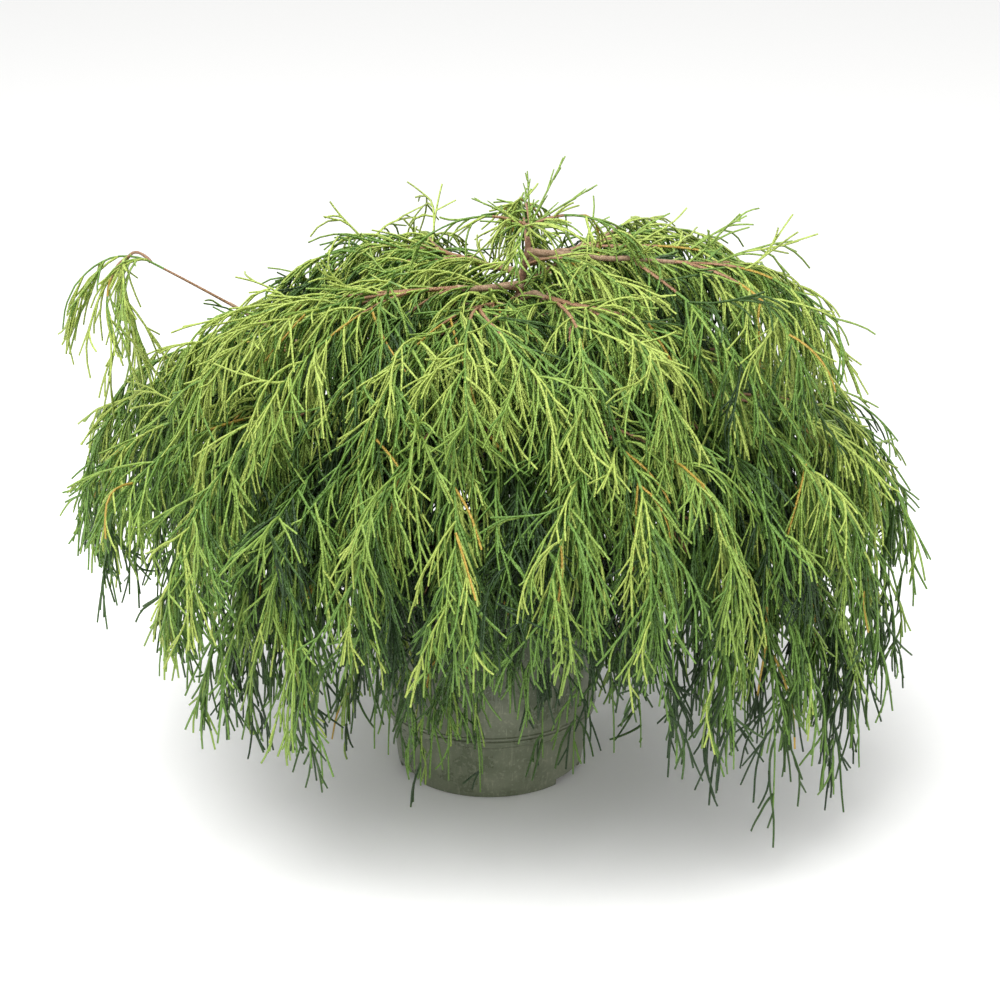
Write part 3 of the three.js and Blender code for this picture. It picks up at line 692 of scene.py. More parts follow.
def grow_threads(twigs, length, over, growth, rng):
    """Side threads of twigs, alternate and long, and fewer in the fringe. They part in the plane that faces
    out of the crown, and soon hang beside their twig. Returns their lines, lengths, twigs, shares of the
    twig and facing sides."""
    middle = twigs[:, TWIG.steps // 2]
    outward = unit(np.stack([middle[:, 0], middle[:, 1], np.full(len(twigs), FACING_RISE)], axis=1))
    facing = unit(over * FACING_OVER + outward + rng.normal(0, FACING_SPREAD, over.shape))
    first = length * FIRST_THREAD[0] + FIRST_THREAD[1]
    twig, order, share = alternate(length, growth.thread_pitch, first, rng)
    foot, course = along(twigs[twig], share)
    normal = facing[twig]
    hand = np.where(order % 2, 1.0, -1.0)
    course, _ = part(course, unit(np.cross(course, normal)), normal, hand, THREAD, rng)
    reach = growth.thread_length * (1 - 0.5 * share) * rng.uniform(*THREAD.size, len(twig))
    reach = np.minimum(reach, length[twig] * THREAD_LONGEST)
    threads = weep(foot, course, reach, THREAD, droop(THREAD, foot, rng), rng)
    rise = np.clip((threads[:, -1, 2] - FRINGE_LOW) / (FRINGE_HIGH - FRINGE_LOW), 0, 1)
    kept = inside_room(threads) & (rng.uniform(size=len(threads)) < mix(FRINGE_THREADS, 1, rise))
    return threads[kept], reach[kept], twig[kept], share[kept], normal[kept]


def grow_forks(threads, reach, normal, growth, rng):
    """Short forks of side threads, at a narrow angle. Returns their lines and threads."""
    thread, order, share = alternate(reach, growth.fork_pitch, growth.fork_pitch * FIRST_FORK, rng)
    foot, course = along(threads[thread], share)
    beside = unit(np.cross(course, normal[thread]))
    hand = np.where((order + thread) % 2, 1.0, -1.0)
    course, _ = part(course, beside, normal[thread], hand, FORK, rng)
    longest = np.minimum(reach[thread] * FORK_LONGEST, growth.fork_pitch)
    length = longest * rng.uniform(*FORK.size, len(thread))
    forks = weep(foot, course, length, FORK, np.full(len(thread), FORK.droop[0]), rng)
    kept = inside_room(forks)
    return forks[kept], thread[kept]


def grow_spray(branch, longest, bare, growth, rng, painted_light=0, fullness=1):
    """The threads of one branch: twigs, long side threads and short forks. Returns strands as (points, radii,
    tint of each)."""
    twigs, length, over, lift = grow_twigs(branch, longest, bare, growth.twig_pitch, fullness, rng)
    threads, reach, twig, share, normal = grow_threads(twigs, length, over, growth, rng)
    forks, thread = grow_forks(threads, reach, normal, growth, rng)
    tint = tints_of_painted_light(twigs[:, TWIG.steps // 2], lift, painted_light, rng)
    golden = (rng.uniform(size=len(tint)) < growth.golden) & (tint < DEEP)
    brighter = rng.uniform(size=len(twig)) < TINT_MIXING * share
    darker = rng.uniform(size=len(twig)) < TINT_MIXING * (1 - share)
    shade = np.clip(tint[twig] - brighter + darker, GOLD, SHADE)
    kinds = (
        (TWIG, twigs, np.where(golden, STEM, tint)),
        (THREAD, threads, shade),
        (FORK, forks, shade[thread]),
    )
    thick = growth.thickness / 2
    return [(own, taper(len(own), kind.steps, thick, *kind.thick), tints) for kind, own, tints in kinds]


def branch_wood(branch, thick, thin, rng):
    """A branch's own wood, as strands: bark at its foot, a young stem, golden on some, and a green end."""
    stations = evenly(branch, WOOD_STATIONS)
    radii = mix(thick, thin, np.linspace(0, 1, WOOD_STATIONS) ** 0.7)
    young = STEM if rng.uniform() < GOLDEN_BRANCHES else FRESH
    parts = (
        (0, WOOD_BARK_END, TWIG_BARK),
        (WOOD_BARK_END - 1, WOOD_YOUNG_END, young),
        (WOOD_YOUNG_END - 1, WOOD_STATIONS, FRESH),
    )
    return [(stations[None, a:b], radii[None, a:b], np.array([tint])) for a, b, tint in parts]


def lines_mesh(name, strands):
    """Strands as one mesh of edges, with each point's radius and tint as attributes."""
    strands = [(p, r, t) for p, r, t in strands if len(p)]
    points = np.concatenate([p.reshape(-1, 3) for p, _, _ in strands]) * MM
    radii = np.concatenate([np.asarray(r).reshape(-1) for _, r, _ in strands]) * MM
    tints = np.concatenate([np.repeat(t, p.shape[1]) for p, _, t in strands])
    edges, first = [], 0
    for p, _, _ in strands:
        number = first + np.arange(p.shape[0] * p.shape[1]).reshape(p.shape[:2])
        edges.append(np.stack([number[:, :-1], number[:, 1:]], axis=2).reshape(-1, 2))
        first += number.size
    edges = np.concatenate(edges)
    mesh = bpy.data.meshes.new(name)
    mesh.vertices.add(len(points))
    mesh.vertices.foreach_set("co", points.astype(np.float32).ravel())
    mesh.edges.add(len(edges))
    mesh.edges.foreach_set("vertices", edges.astype(np.int32).ravel())
    dealt = (("thickness", "FLOAT", radii.astype(np.float32)), ("tint", "INT", tints.astype(np.int32)))
    for label, kind, values in dealt:
        mesh.attributes.new(label, kind, "POINT").data.foreach_set("value", values)
    mesh.update()
    return mesh


# Meshes


def mesh_from(name, vertices, faces):
    """A mesh from millimetre vertices and faces, smooth."""
    mesh = bpy.data.meshes.new(name)
    mesh.from_pydata((np.asarray(vertices) * MM).tolist(), [], [list(map(int, f)) for f in faces])
    mesh.update()
    mesh.polygons.foreach_set("use_smooth", [True] * len(mesh.polygons))
    return mesh


def lathe(profile, sides):
    """Vertices and faces of a profile that starts and ends on the axis, turned about it."""
    vertices, rings = [], []
    for radius, height in profile:
        first = len(vertices)
        if radius == 0:
            vertices.append((0, 0, height))
            rings.append([first] * sides)
            continue
        for k in range(sides):
            turn = 2 * math.pi * k / sides
            vertices.append((radius * math.cos(turn), radius * math.sin(turn), height))
        rings.append([first + k for k in range(sides)])
    faces = []
    for low, high in zip(rings, rings[1:]):
        for k in range(sides):
            corners = (low[k], low[(k + 1) % sides], high[(k + 1) % sides], high[k])
            faces.append(tuple(dict.fromkeys(corners)))
    return vertices, faces


def tube(points, radii, sides, relief):
    """Vertices and faces of a closed limb along a line. relief(turn, place, radius) lifts its skin."""
    across = np.array([0.31, 0.87, 0.38])
    vertices, faces = [], []
    reached = 0.0
    for i, point in enumerate(points):
        reached += np.linalg.norm(point - points[i - 1]) if i else 0
        course = heading(points, i)
        across = unit(across - course * (across @ course))
        over = np.cross(course, across)
        for k in range(sides):
            turn = 2 * math.pi * k / sides
            radius = radii[i] + relief(turn, reached, radii[i])
            vertices.append(point + (across * math.cos(turn) + over * math.sin(turn)) * radius)
    for i in range(len(points) - 1):
        for k in range(sides):
            a, b = i * sides + k, i * sides + (k + 1) % sides
            faces.append((a, b, b + sides, a + sides))
    faces.append(tuple(range(sides))[::-1])
    faces.append(tuple((len(points) - 1) * sides + k for k in range(sides)))
    return vertices, faces


def bark_relief(depth, seed):
    """The relief of fibrous bark: long shallow strips with torn edges, a fine grain over them, and knots."""

    def lift(turn, place, radius):
        x, y = math.cos(turn) * radius, math.sin(turn) * radius
        strip = noise.noise(Vector((x * BARK_STRIPS[0] + seed, y * BARK_STRIPS[0], place * BARK_STRIPS[1])))
        grain = noise.noise(Vector((x * BARK_GRAIN[0], y * BARK_GRAIN[0] + seed, place * BARK_GRAIN[1])))
        knot = noise.noise(Vector((x * BARK_KNOTS[0], seed, place * BARK_KNOTS[1])))
        torn = abs(strip) ** 0.6 * (1 if strip > 0 else -1)
        return depth * radius * (0.6 * torn + 0.25 * grain + 0.5 * knot)

    return lift


def kinked(line, depth, seed):
    """A line with the slight kinks of a bough, none at its two ends."""
    share = np.linspace(0, 1, len(line))
    places = share * length_of(line) * BOUGH_KINKS
    shift = [[noise.noise(Vector((place, seed, layer))) for layer in KINK_LAYERS] for place in places]
    return line + np.array(shift) * (depth * np.sin(np.pi * share))[:, None]


def join(parts):
    """Several (vertices, faces) as one."""
    vertices, faces = [], []
    for part_vertices, part_faces in parts:
        first = len(vertices)
        vertices.extend(part_vertices)
        faces.extend(tuple(first + corner for corner in face) for face in part_faces)
    return vertices, faces


def placed(name, data):
    """A new object of the scene that holds this data."""
    made = bpy.data.objects.new(name, data)
    bpy.context.scene.collection.objects.link(made)
    return made


def settled(holder, name, *helpers):
    """The plain mesh that a holder's modifiers make of it. The holder and its helpers are removed."""
    depsgraph = bpy.context.evaluated_depsgraph_get()
    made = bpy.data.meshes.new_from_object(holder.evaluated_get(depsgraph), depsgraph=depsgraph)
    made.name = name
    holder.modifiers.clear()
    for used in (holder, *helpers):
        bpy.data.objects.remove(used)
    return made


def finished(name, mesh, replaced=()):
    """A finished piece on the body, in place of the nodes it replaces."""
    piece = placed(name, mesh)
    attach(piece, "root")
    if replaced:
        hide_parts(*replaced)


# Node trees


def add_node(tree, kind, inputs=None, feeds=None, **settings):
    """Adds a node with its settings, and sets or links its inputs by name or number. A node given as an input
    stands for its first output. Feeds names a socket that takes this node's own."""
    made = tree.nodes.new(kind)
    for name, value in settings.items():
        setattr(made, name, value)
    for key, value in (inputs or {}).items():
        if isinstance(value, bpy.types.Node):
            value = value.outputs[0]
        if isinstance(value, bpy.types.NodeSocket):
            tree.links.new(value, made.inputs[key])
        else:
            made.inputs[key].default_value = value
    if feeds is not None:
        tree.links.new(made.outputs[0], feeds)
    return made


def new_tree(name, inputs):
    """An empty geometry tree with named inputs: (name, socket type, default)."""
    tree = bpy.data.node_groups.new(name, "GeometryNodeTree")
    tree.interface.new_socket("Geometry", in_out="INPUT", socket_type="NodeSocketGeometry")
    for label, kind, default in inputs:
        socket = tree.interface.new_socket(label, in_out="INPUT", socket_type=kind)
        if default is not None:
            socket.default_value = default
    tree.interface.new_socket("Geometry", in_out="OUTPUT", socket_type="NodeSocketGeometry")
    return tree


def thread_tree():
    """Turns a mesh of edges into threads: each line gets a section of so many sides by its thickness
    attribute, and each thread the material of its tint."""
    inputs = [("Sides", "NodeSocketInt", 3), ("Fullness", "NodeSocketFloat", 1.0)]
    inputs += [(tint, "NodeSocketMaterial", None) for tint in TINTS]
    tree = new_tree("cypress_threads", inputs)
    start = add_node(tree, "NodeGroupInput").outputs
    named = "GeometryNodeInputNamedAttribute"
    thickness = add_node(tree, named, {"Name": "thickness"}, data_type="FLOAT")
    tint = add_node(tree, named, {"Name": "tint"}, data_type="INT")
    full = {0: thickness, 1: start["Fullness"]}
    radius = add_node(tree, "ShaderNodeMath", full, operation="MULTIPLY")
    lines = add_node(tree, "GeometryNodeMeshToCurve", {"Mesh": start["Geometry"]})
    outline = {"Resolution": start["Sides"], "Radius": 1.0}
    section = add_node(tree, "GeometryNodeCurvePrimitiveCircle", outline)
    swept = {"Curve": lines, "Profile Curve": section, "Scale": radius, "Fill Caps": True}
    body = add_node(tree, "GeometryNodeCurveToMesh", swept)
    smooth = add_node(tree, "GeometryNodeSetShadeSmooth", {"Geometry": body, "Shade Smooth": True})
    made = add_node(tree, "GeometryNodeRealizeInstances", {"Geometry": smooth})
    # Sockets 2 and 3 of the comparison are its whole numbers
    for number, label in enumerate(TINTS):
        own = {2: tint, 3: number}
        chosen = add_node(tree, "FunctionNodeCompare", own, data_type="INT", operation="EQUAL")
        dressed = {"Geometry": made, "Selection": chosen, "Material": start[label]}
        made = add_node(tree, "GeometryNodeSetMaterial", dressed)
    add_node(tree, "NodeGroupOutput", {"Geometry": made})
    return tree


def chip_tree():
    """Strews chips over the face that it is given, each turned and sized by chance."""
    inputs = [
        ("Chip", "NodeSocketObject", None),
        ("Density", "NodeSocketFloat", 12000.0),
        ("Smallest", "NodeSocketFloat", 0.5),
        ("Largest", "NodeSocketFloat", 1.4),
        ("Seed", "NodeSocketInt", 7),
        ("Material", "NodeSocketMaterial", None),
    ]
    tree = new_tree("cypress_chips", inputs)
    start = add_node(tree, "NodeGroupInput").outputs
    spread = {"Mesh": start["Geometry"], "Density": start["Density"], "Seed": start["Seed"]}
    points = add_node(tree, "GeometryNodeDistributePointsOnFaces", spread)
    chip = add_node(tree, "GeometryNodeObjectInfo", {"Object": start["Chip"]})
    # Sockets 0 and 1 of a random value are its range as a vector, and 2 and 3 as a number
    turn_range = {0: (-0.5, -0.5, 0.0), 1: (0.5, 0.5, 6.28), "Seed": start["Seed"]}
    turn = add_node(tree, "FunctionNodeRandomValue", turn_range, data_type="FLOAT_VECTOR")
    size_range = {2: start["Smallest"], 3: start["Largest"], "Seed": start["Seed"]}
    size = add_node(tree, "FunctionNodeRandomValue", size_range, data_type="FLOAT")
    strewn = {
        "Points": points,
        "Instance": chip.outputs["Geometry"],
        "Rotation": turn,
        "Scale": size.outputs[1],
    }
    chips = add_node(tree, "GeometryNodeInstanceOnPoints", strewn)
    real = add_node(tree, "GeometryNodeRealizeInstances", {"Geometry": chips})
    dressed = {"Geometry": real, "Material": start["Material"]}
    made = add_node(tree, "GeometryNodeSetMaterial", dressed)
    add_node(tree, "NodeGroupOutput", {"Geometry": made})
    return tree


def grown(name, mesh, tree, values):
    """The plain mesh that a tree makes of a mesh. The tree's inputs are set by socket identifier."""
    holder = placed(name + "_lines", mesh)
    modifier = holder.modifiers.new("Grow", "NODES")
    modifier.node_group = tree
    sockets = {item.name: item.identifier for item in tree.interface.items_tree if item.in_out == "INPUT"}
    for label, value in values.items():
        modifier[sockets[label]] = value
    made = settled(holder, name)
    for label in ("thickness", "tint"):
        if label in made.attributes:
            made.attributes.remove(made.attributes[label])
    return made


# Materials


def linear(colour):
    """An sRGB hex colour as linear red, green, blue and alpha."""
    shares = [int(colour[i : i + 2], 16) / 255 for i in (1, 3, 5)]
    return tuple(c / 12.92 if c <= 0.04045 else ((c + 0.055) / 1.055) ** 2.4 for c in shares) + (1.0,)


def mix_colour(a, b, share):
    """The colour at a share of the way from one to another."""
    return tuple(mix(x, y, share) for x, y in zip(a, b))


def per_metre(size):
    """The scale of a pattern whose features have a size in millimetres."""
    return 1000 / size


def new_material(name, **sockets):
    """A material whose main shader has these uniform values, with its tree, the shader's inputs and Object
    coordinates."""
    material = bpy.data.materials.new(name)
    material.use_nodes = True
    tree = material.node_tree
    shader = tree.nodes["Principled BSDF"]
    for label, value in sockets.items():
        shader.inputs[label.replace("_", " ")].default_value = value
    return material, tree, shader.inputs, add_node(tree, "ShaderNodeTexCoord").outputs["Object"]


def scale_leaf_material(name, colour, roughness):
    """Living threadleaf foliage: flat scale leaves pressed to the thread about every 2 mm, with a thin wax.
    The eye gets a soft gleam broken by the leaf joints. The colour is plain, dealt out spray by spray, and
    carries painted light and shade."""
    material, tree, skin, place = new_material(name, Base_Color=colour, Roughness=roughness, IOR=1.42)
    leaf_scales = {"Vector": place, "Scale": per_metre(1.923)}
    scales = add_node(tree, "ShaderNodeTexVoronoi", leaf_scales, feature="F1")
    joints = {"Height": scales, "Strength": 0.9, "Distance": 0.0014}
    add_node(tree, "ShaderNodeBump", joints, skin["Normal"], invert=True)
    return material


def bark_material(name, dark, light, strip):
    """Cypress bark: thin, fibrous and red brown, peeling in strips of a size in millimetres, dry and dull.
    The eye gets a broken tone without a gleam. Young wood is smoother and paler. The strips are drawn
    coarser than life, so that they show."""
    material, tree, skin, place = new_material(name, Roughness=0.82, IOR=1.45)
    strip_pattern = {"Vector": place, "Scale": per_metre(strip), "Detail": 6.0, "Roughness": 0.62}
    fibre_pattern = {"Vector": place, "Scale": per_metre(strip / 6), "Detail": 3.0}
    strips = add_node(tree, "ShaderNodeTexNoise", strip_pattern)
    fibres = add_node(tree, "ShaderNodeTexNoise", fibre_pattern)
    tone = add_node(tree, "ShaderNodeMixRGB", {0: strips, 1: fibres, 2: strips})
    ramp = add_node(tree, "ShaderNodeValToRGB", {0: tone}, skin["Base Color"])
    for stop, share, colour in zip(ramp.color_ramp.elements, (0.36, 0.64), (dark, light)):
        stop.position, stop.color = share, colour
    add_node(tree, "ShaderNodeBump", {"Height": fibres, "Strength": 0.5, "Distance": 0.0008}, skin["Normal"])
    return material


def pot_material(colour, dust):
    """Moulded polypropylene nursery pot: olive, with a satin skin, scuffs and long scratches from handling. A
    film of dried splash marks pales and dulls it in patches, most near the foot. Grit, streaks and
    scratches are drawn coarser than life, so that they show."""
    material, tree, skin, place = new_material("moulded_polypropylene", IOR=1.49)
    streak_grain = (per_metre(3.333), per_metre(3.333), per_metre(71.43))
    scratch_grain = (per_metre(2.222), per_metre(2.222), per_metre(76.92))
    streak_map = add_node(tree, "ShaderNodeMapping", {"Vector": place, "Scale": streak_grain})
    turned = {"Vector": place, "Rotation": (0.5, 0.3, 0.0), "Scale": scratch_grain}
    scratch_map = add_node(tree, "ShaderNodeMapping", turned)
    patterns = (
        {"Vector": place, "Scale": per_metre(58.82), "Detail": 6.0, "Roughness": 0.65},
        {"Vector": place, "Scale": per_metre(3.333), "Detail": 4.0},
        {"Vector": streak_map, "Scale": 1.0, "Detail": 3.0},
        {"Vector": scratch_map, "Scale": 1.0, "Detail": 2.0},
    )
    film, grit, streaks, scratches = [add_node(tree, "ShaderNodeTexNoise", pattern) for pattern in patterns]
    height = add_node(tree, "ShaderNodeSeparateXYZ", {0: place}).outputs["Z"]
    total = add_node(tree, "ShaderNodeMapRange", {0: height, 1: 0.0, 2: 0.06, 3: 0.12, 4: 0.0})
    # Each kind of mark: its pattern, the values of it where the mark starts and is full, and its strength.
    marks = (
        (film, 0.42, 0.72, 0.75),
        (grit, 0.56, 0.7, 0.5),
        (streaks, 0.55, 0.75, 0.45),
        (scratches, 0.66, 0.7, 0.5),
    )
    for pattern, start, full, strength in marks:
        mark = add_node(tree, "ShaderNodeMapRange", {0: pattern, 1: start, 2: full, 3: 0.0, 4: strength})
        total = add_node(tree, "ShaderNodeMath", {0: total, 1: mark}, operation="ADD")
    share = add_node(tree, "ShaderNodeMath", {0: total, 1: 0.46}, operation="MULTIPLY", use_clamp=True)
    add_node(tree, "ShaderNodeMixRGB", {0: share, 1: colour, 2: dust}, skin["Base Color"])
    add_node(tree, "ShaderNodeMapRange", {0: total, 1: 0.0, 2: 1.0, 3: 0.24, 4: 0.55}, skin["Roughness"])
    add_node(tree, "ShaderNodeBump", {"Height": grit, "Strength": 0.15, "Distance": 0.0004}, skin["Normal"])
    return material


def mix_material(name, dark, light):
    """Composted bark and peat: dark, damp and matt, with paler chips. The eye gets loose crumbs."""
    material, tree, skin, place = new_material(name, Roughness=0.92, IOR=1.4)
    crumb_pattern = {"Vector": place, "Scale": per_metre(6.25), "Detail": 6.0}
    crumbs = add_node(tree, "ShaderNodeTexNoise", crumb_pattern)
    ramp = add_node(tree, "ShaderNodeValToRGB", {0: crumbs}, skin["Base Color"])
    for stop, share, colour in zip(ramp.color_ramp.elements, (0.38, 0.68), (dark, light)):
        stop.position, stop.color = share, colour
    add_node(tree, "ShaderNodeBump", {"Height": crumbs, "Strength": 0.8, "Distance": 0.002}, skin["Normal"])
    return material


def floor_material(colour):
    """Matt studio paper: near white, with a tooth too fine to catch the light."""
    material, tree, skin, place = new_material("studio_paper", Base_Color=colour, Roughness=0.95)
    skin["Specular IOR Level"].default_value = 0.1
    tooth = add_node(tree, "ShaderNodeTexNoise", {"Vector": place, "Scale": per_metre(1.111), "Detail": 2.0})
    add_node(tree, "ShaderNodeBump", {"Height": tooth, "Strength": 0.03, "Distance": 0.0002}, skin["Normal"])
    return material


# Settings


def colour_setting(name, description, colour):
    """A colour that a user may change, given as sRGB hex."""
    return bpy.props.FloatVectorProperty(
        name=name, description=description, subtype="COLOR", size=4, min=0, max=1, default=linear(colour)
    )


def number_setting(name, description, default, **limits):
    """A number that a user may change."""
    return bpy.props.FloatProperty(name=name, description=description, default=default, **limits)


class PotSettings(bpy.types.PropertyGroup):
    sides: bpy.props.IntProperty(name="Sides", description="Facets round the pot", default=144, min=24)
    plastic: colour_setting("Plastic", "Colour of the moulded plastic", "#535b45")
    dust: colour_setting("Dust", "Colour of the dried splash marks on the plastic", "#a9ab94")
    peat: colour_setting("Peat", "Dark of the growing mix", "#1d140e")
    chips: colour_setting("Chips", "Light of the bark chips", "#6b4a33")
    chip_density: number_setting("Chip Density", "Bark chips for each square metre", 14000, min=0)


class WoodSettings(bpy.types.PropertyGroup):
    relief: number_setting(
        "Relief", "Depth of the bark as a share of the limb's radius", 0.16, min=0, max=0.5, subtype="FACTOR"
    )
    bark_dark: colour_setting("Bark Dark", "Dark of the old bark", "#3f2a20")
    bark_light: colour_setting("Bark Light", "Light of the old bark", "#94705a")
    bark_strip: number_setting("Bark Strip", "Width of the old bark's strips in millimetres", 11.111, min=1)
    young_dark: colour_setting("Young Bark Dark", "Dark of the boughs' bark", "#6a4c37")
    young_light: colour_setting("Young Bark Light", "Light of the boughs' bark", "#bba084")
    young_strip: number_setting("Young Strip", "Width of young bark's strips in millimetres", 7.143, min=1)


class FoliageSettings(bpy.types.PropertyGroup):
    seed: bpy.props.IntProperty(name="Seed", description="Seed of the growth", default=11)
    thickness: number_setting("Thickness", "Thickness of a thread in millimetres", 2.75, min=0.5, max=4)
    twig_pitch: number_setting("Twig Pitch", "Millimetres between twigs on a branch", 6.6, min=2)
    thread_pitch: number_setting("Thread Pitch", "Millimetres between side threads on a twig", 12.5, min=2)
    thread_length: number_setting("Thread Length", "Longest side thread in millimetres", 80, min=4)
    fork_pitch: number_setting("Fork Pitch", "Millimetres between forks on a side thread", 25, min=2)
    golden: number_setting(
        "Golden Stems", "Share of bright twigs with a golden stem", 0.035, min=0, max=1, subtype="FACTOR"
    )
    roughness: number_setting(
        "Roughness", "Roughness of the waxed leaves", 0.42, min=0, max=1, subtype="FACTOR"
    )
    # The greens are painted light and shade: gold and lime go to high, outer threads as painted light, deep
    # and shade to low and inner ones as painted shade, and fresh lies between.
    gold: colour_setting("Gold Green", "Brightest young threads", "#abbe5c")
    lime: colour_setting("Lime Green", "Bright threads", "#8aa74b")
    fresh: colour_setting("Fresh Green", "Threads of the middle", "#698d3d")
    deep: colour_setting("Deep Green", "Older threads", "#3c5a23")
    shade: colour_setting("Shade Green", "Threads low down and within", "#2a4220")
    stem: colour_setting("Golden Stem", "Stems of this year's growth", "#b0933f")
    twig_bark: colour_setting("Twig Bark", "Thin bark of the branches", "#9c7759")


class StageSettings(bpy.types.PropertyGroup):
    floor: colour_setting("Floor", "Colour of the studio floor", "#fafaf9")
    sky: number_setting("Sky", "Strength of the even light", 0.88, min=0)
    key: number_setting("Key", "Power of the overhead soft box in watts", 74, min=0, subtype="POWER")
    front: number_setting("Front", "Power of the front soft box in watts", 12, min=0, subtype="POWER")


# Operators


class CYPRESS_OT_pot(bpy.types.Operator):
    """Turn the moulded nursery pot with its band, rim, feet and drain notches"""

    bl_idname = "cypress.pot"
    bl_label = "Pot"

    def execute(self, context):
        settings = context.scene.cypress_pot
        pot = placed("pot_blank", mesh_from("pot_blank", *lathe(self.profile(), settings.sides)))
        cutter = placed("pot_notches", mesh_from("pot_notches", *join(self.cutters())))
        cut = pot.modifiers.new("Notches", "BOOLEAN")
        cut.operation, cut.solver, cut.object = "DIFFERENCE", "EXACT", cutter
        mesh = settled(pot, "nursery_pot", cutter)
        mesh.materials.clear()
        mesh.materials.append(pot_material(settings.plastic, settings.dust))
        mesh.set_sharp_from_angle(angle=math.radians(34))
        finished("nursery_pot", mesh, ["pot"])
        return {"FINISHED"}

    @staticmethod
    def profile():
        """Radius and height round the wall, from the underside's middle to the inner floor's middle."""
        rim_foot = POT_HEIGHT - POT_RIM_HEIGHT
        band_top = float(pot_radius(POT_BAND_HIGH))
        inner = POT_BELOW_BAND_RADIUS - POT_WALL
        return [
            (0, 1.2),
            (POT_FOOT_RADIUS - 18, 1.2),
            (POT_FOOT_RADIUS - 16, 0),
            (POT_FOOT_RADIUS - 1.6, 0),
            (POT_FOOT_RADIUS - 0.4, 0.5),
            (POT_FOOT_RADIUS + 0.1, 1.8),
            (POT_FOOT_RADIUS + 2.2, 16),
            (POT_BELOW_BAND_RADIUS - 0.4, POT_BAND_LOW - 3),
            (POT_BELOW_BAND_RADIUS, POT_BAND_LOW - 1),
            (POT_BAND_RADIUS - 1, POT_BAND_LOW + 0.6),
            (POT_BAND_RADIUS, POT_BAND_LOW + 1.8),
            (POT_BAND_RADIUS + 0.5, POT_BAND_HIGH - 4),
            (POT_BAND_RADIUS - 0.9, POT_BAND_HIGH - 3),
            (POT_BAND_RADIUS - 0.9, POT_BAND_HIGH - 2),
            (band_top + 0.6, POT_BAND_HIGH - 1),
            (band_top + 0.5, POT_BAND_HIGH + 0.4),
            (band_top - 0.6, POT_BAND_HIGH + 1.6),
            (float(pot_radius(140)), 140),
            (POT_LIP_RADIUS - 1.2, rim_foot - 2),
            (POT_LIP_RADIUS + 0.2, rim_foot - 0.4),
            (POT_RIM_RADIUS - 0.8, rim_foot),
            (POT_RIM_RADIUS, rim_foot + 1.2),
            (POT_RIM_RADIUS, POT_HEIGHT - 1.6),
            (POT_RIM_RADIUS - 0.6, POT_HEIGHT - 0.4),
            (POT_RIM_RADIUS - 2, POT_HEIGHT),
            (POT_LIP_RADIUS - POT_WALL + 0.8, POT_HEIGHT),
            (POT_LIP_RADIUS - POT_WALL, POT_HEIGHT - 1),
            (inner + 1, POT_BAND_LOW + 4),
            (POT_FOOT_RADIUS - POT_WALL, POT_FLOOR + 2),
            (POT_FOOT_RADIUS - POT_WALL - 2, POT_FLOOR),
            (0, POT_FLOOR),
        ]

    @staticmethod
    def cutters():
        """The blocks that the notches take out of the foot. Each is part of a ring, with two rows of corners
        low down and two above them."""
        parts = []
        last = NOTCH_STATIONS - 1
        inner_top = 2 * NOTCH_STATIONS
        outer_top = 3 * NOTCH_STATIONS
        for i in range(NOTCHES):
            middle = math.radians(FIRST_NOTCH + 360 / NOTCHES * i)
            half = math.radians(NOTCH_SWEEP / 2)
            turns = [mix(middle - half, middle + half, k / last) for k in range(NOTCH_STATIONS)]
            corners = []
            for height in (-2, NOTCH_HEIGHT):
                for radius in (POT_FOOT_RADIUS - NOTCH_DEPTH, POT_FOOT_RADIUS + NOTCH_DEPTH):
                    corners += [(radius * math.cos(t), radius * math.sin(t), height) for t in turns]
            faces = []
            for k in range(last):
                a, b, c, d = k, k + NOTCH_STATIONS, k + inner_top, k + outer_top
                faces += [(a, a + 1, b + 1, b), (c, d, d + 1, c + 1)]
                faces += [(a, c, c + 1, a + 1), (b, b + 1, d + 1, d)]
            faces.append((0, NOTCH_STATIONS, outer_top, inner_top))
            faces.append((last, inner_top + last, outer_top + last, NOTCH_STATIONS + last))
            parts.append((corners, faces))
        return parts


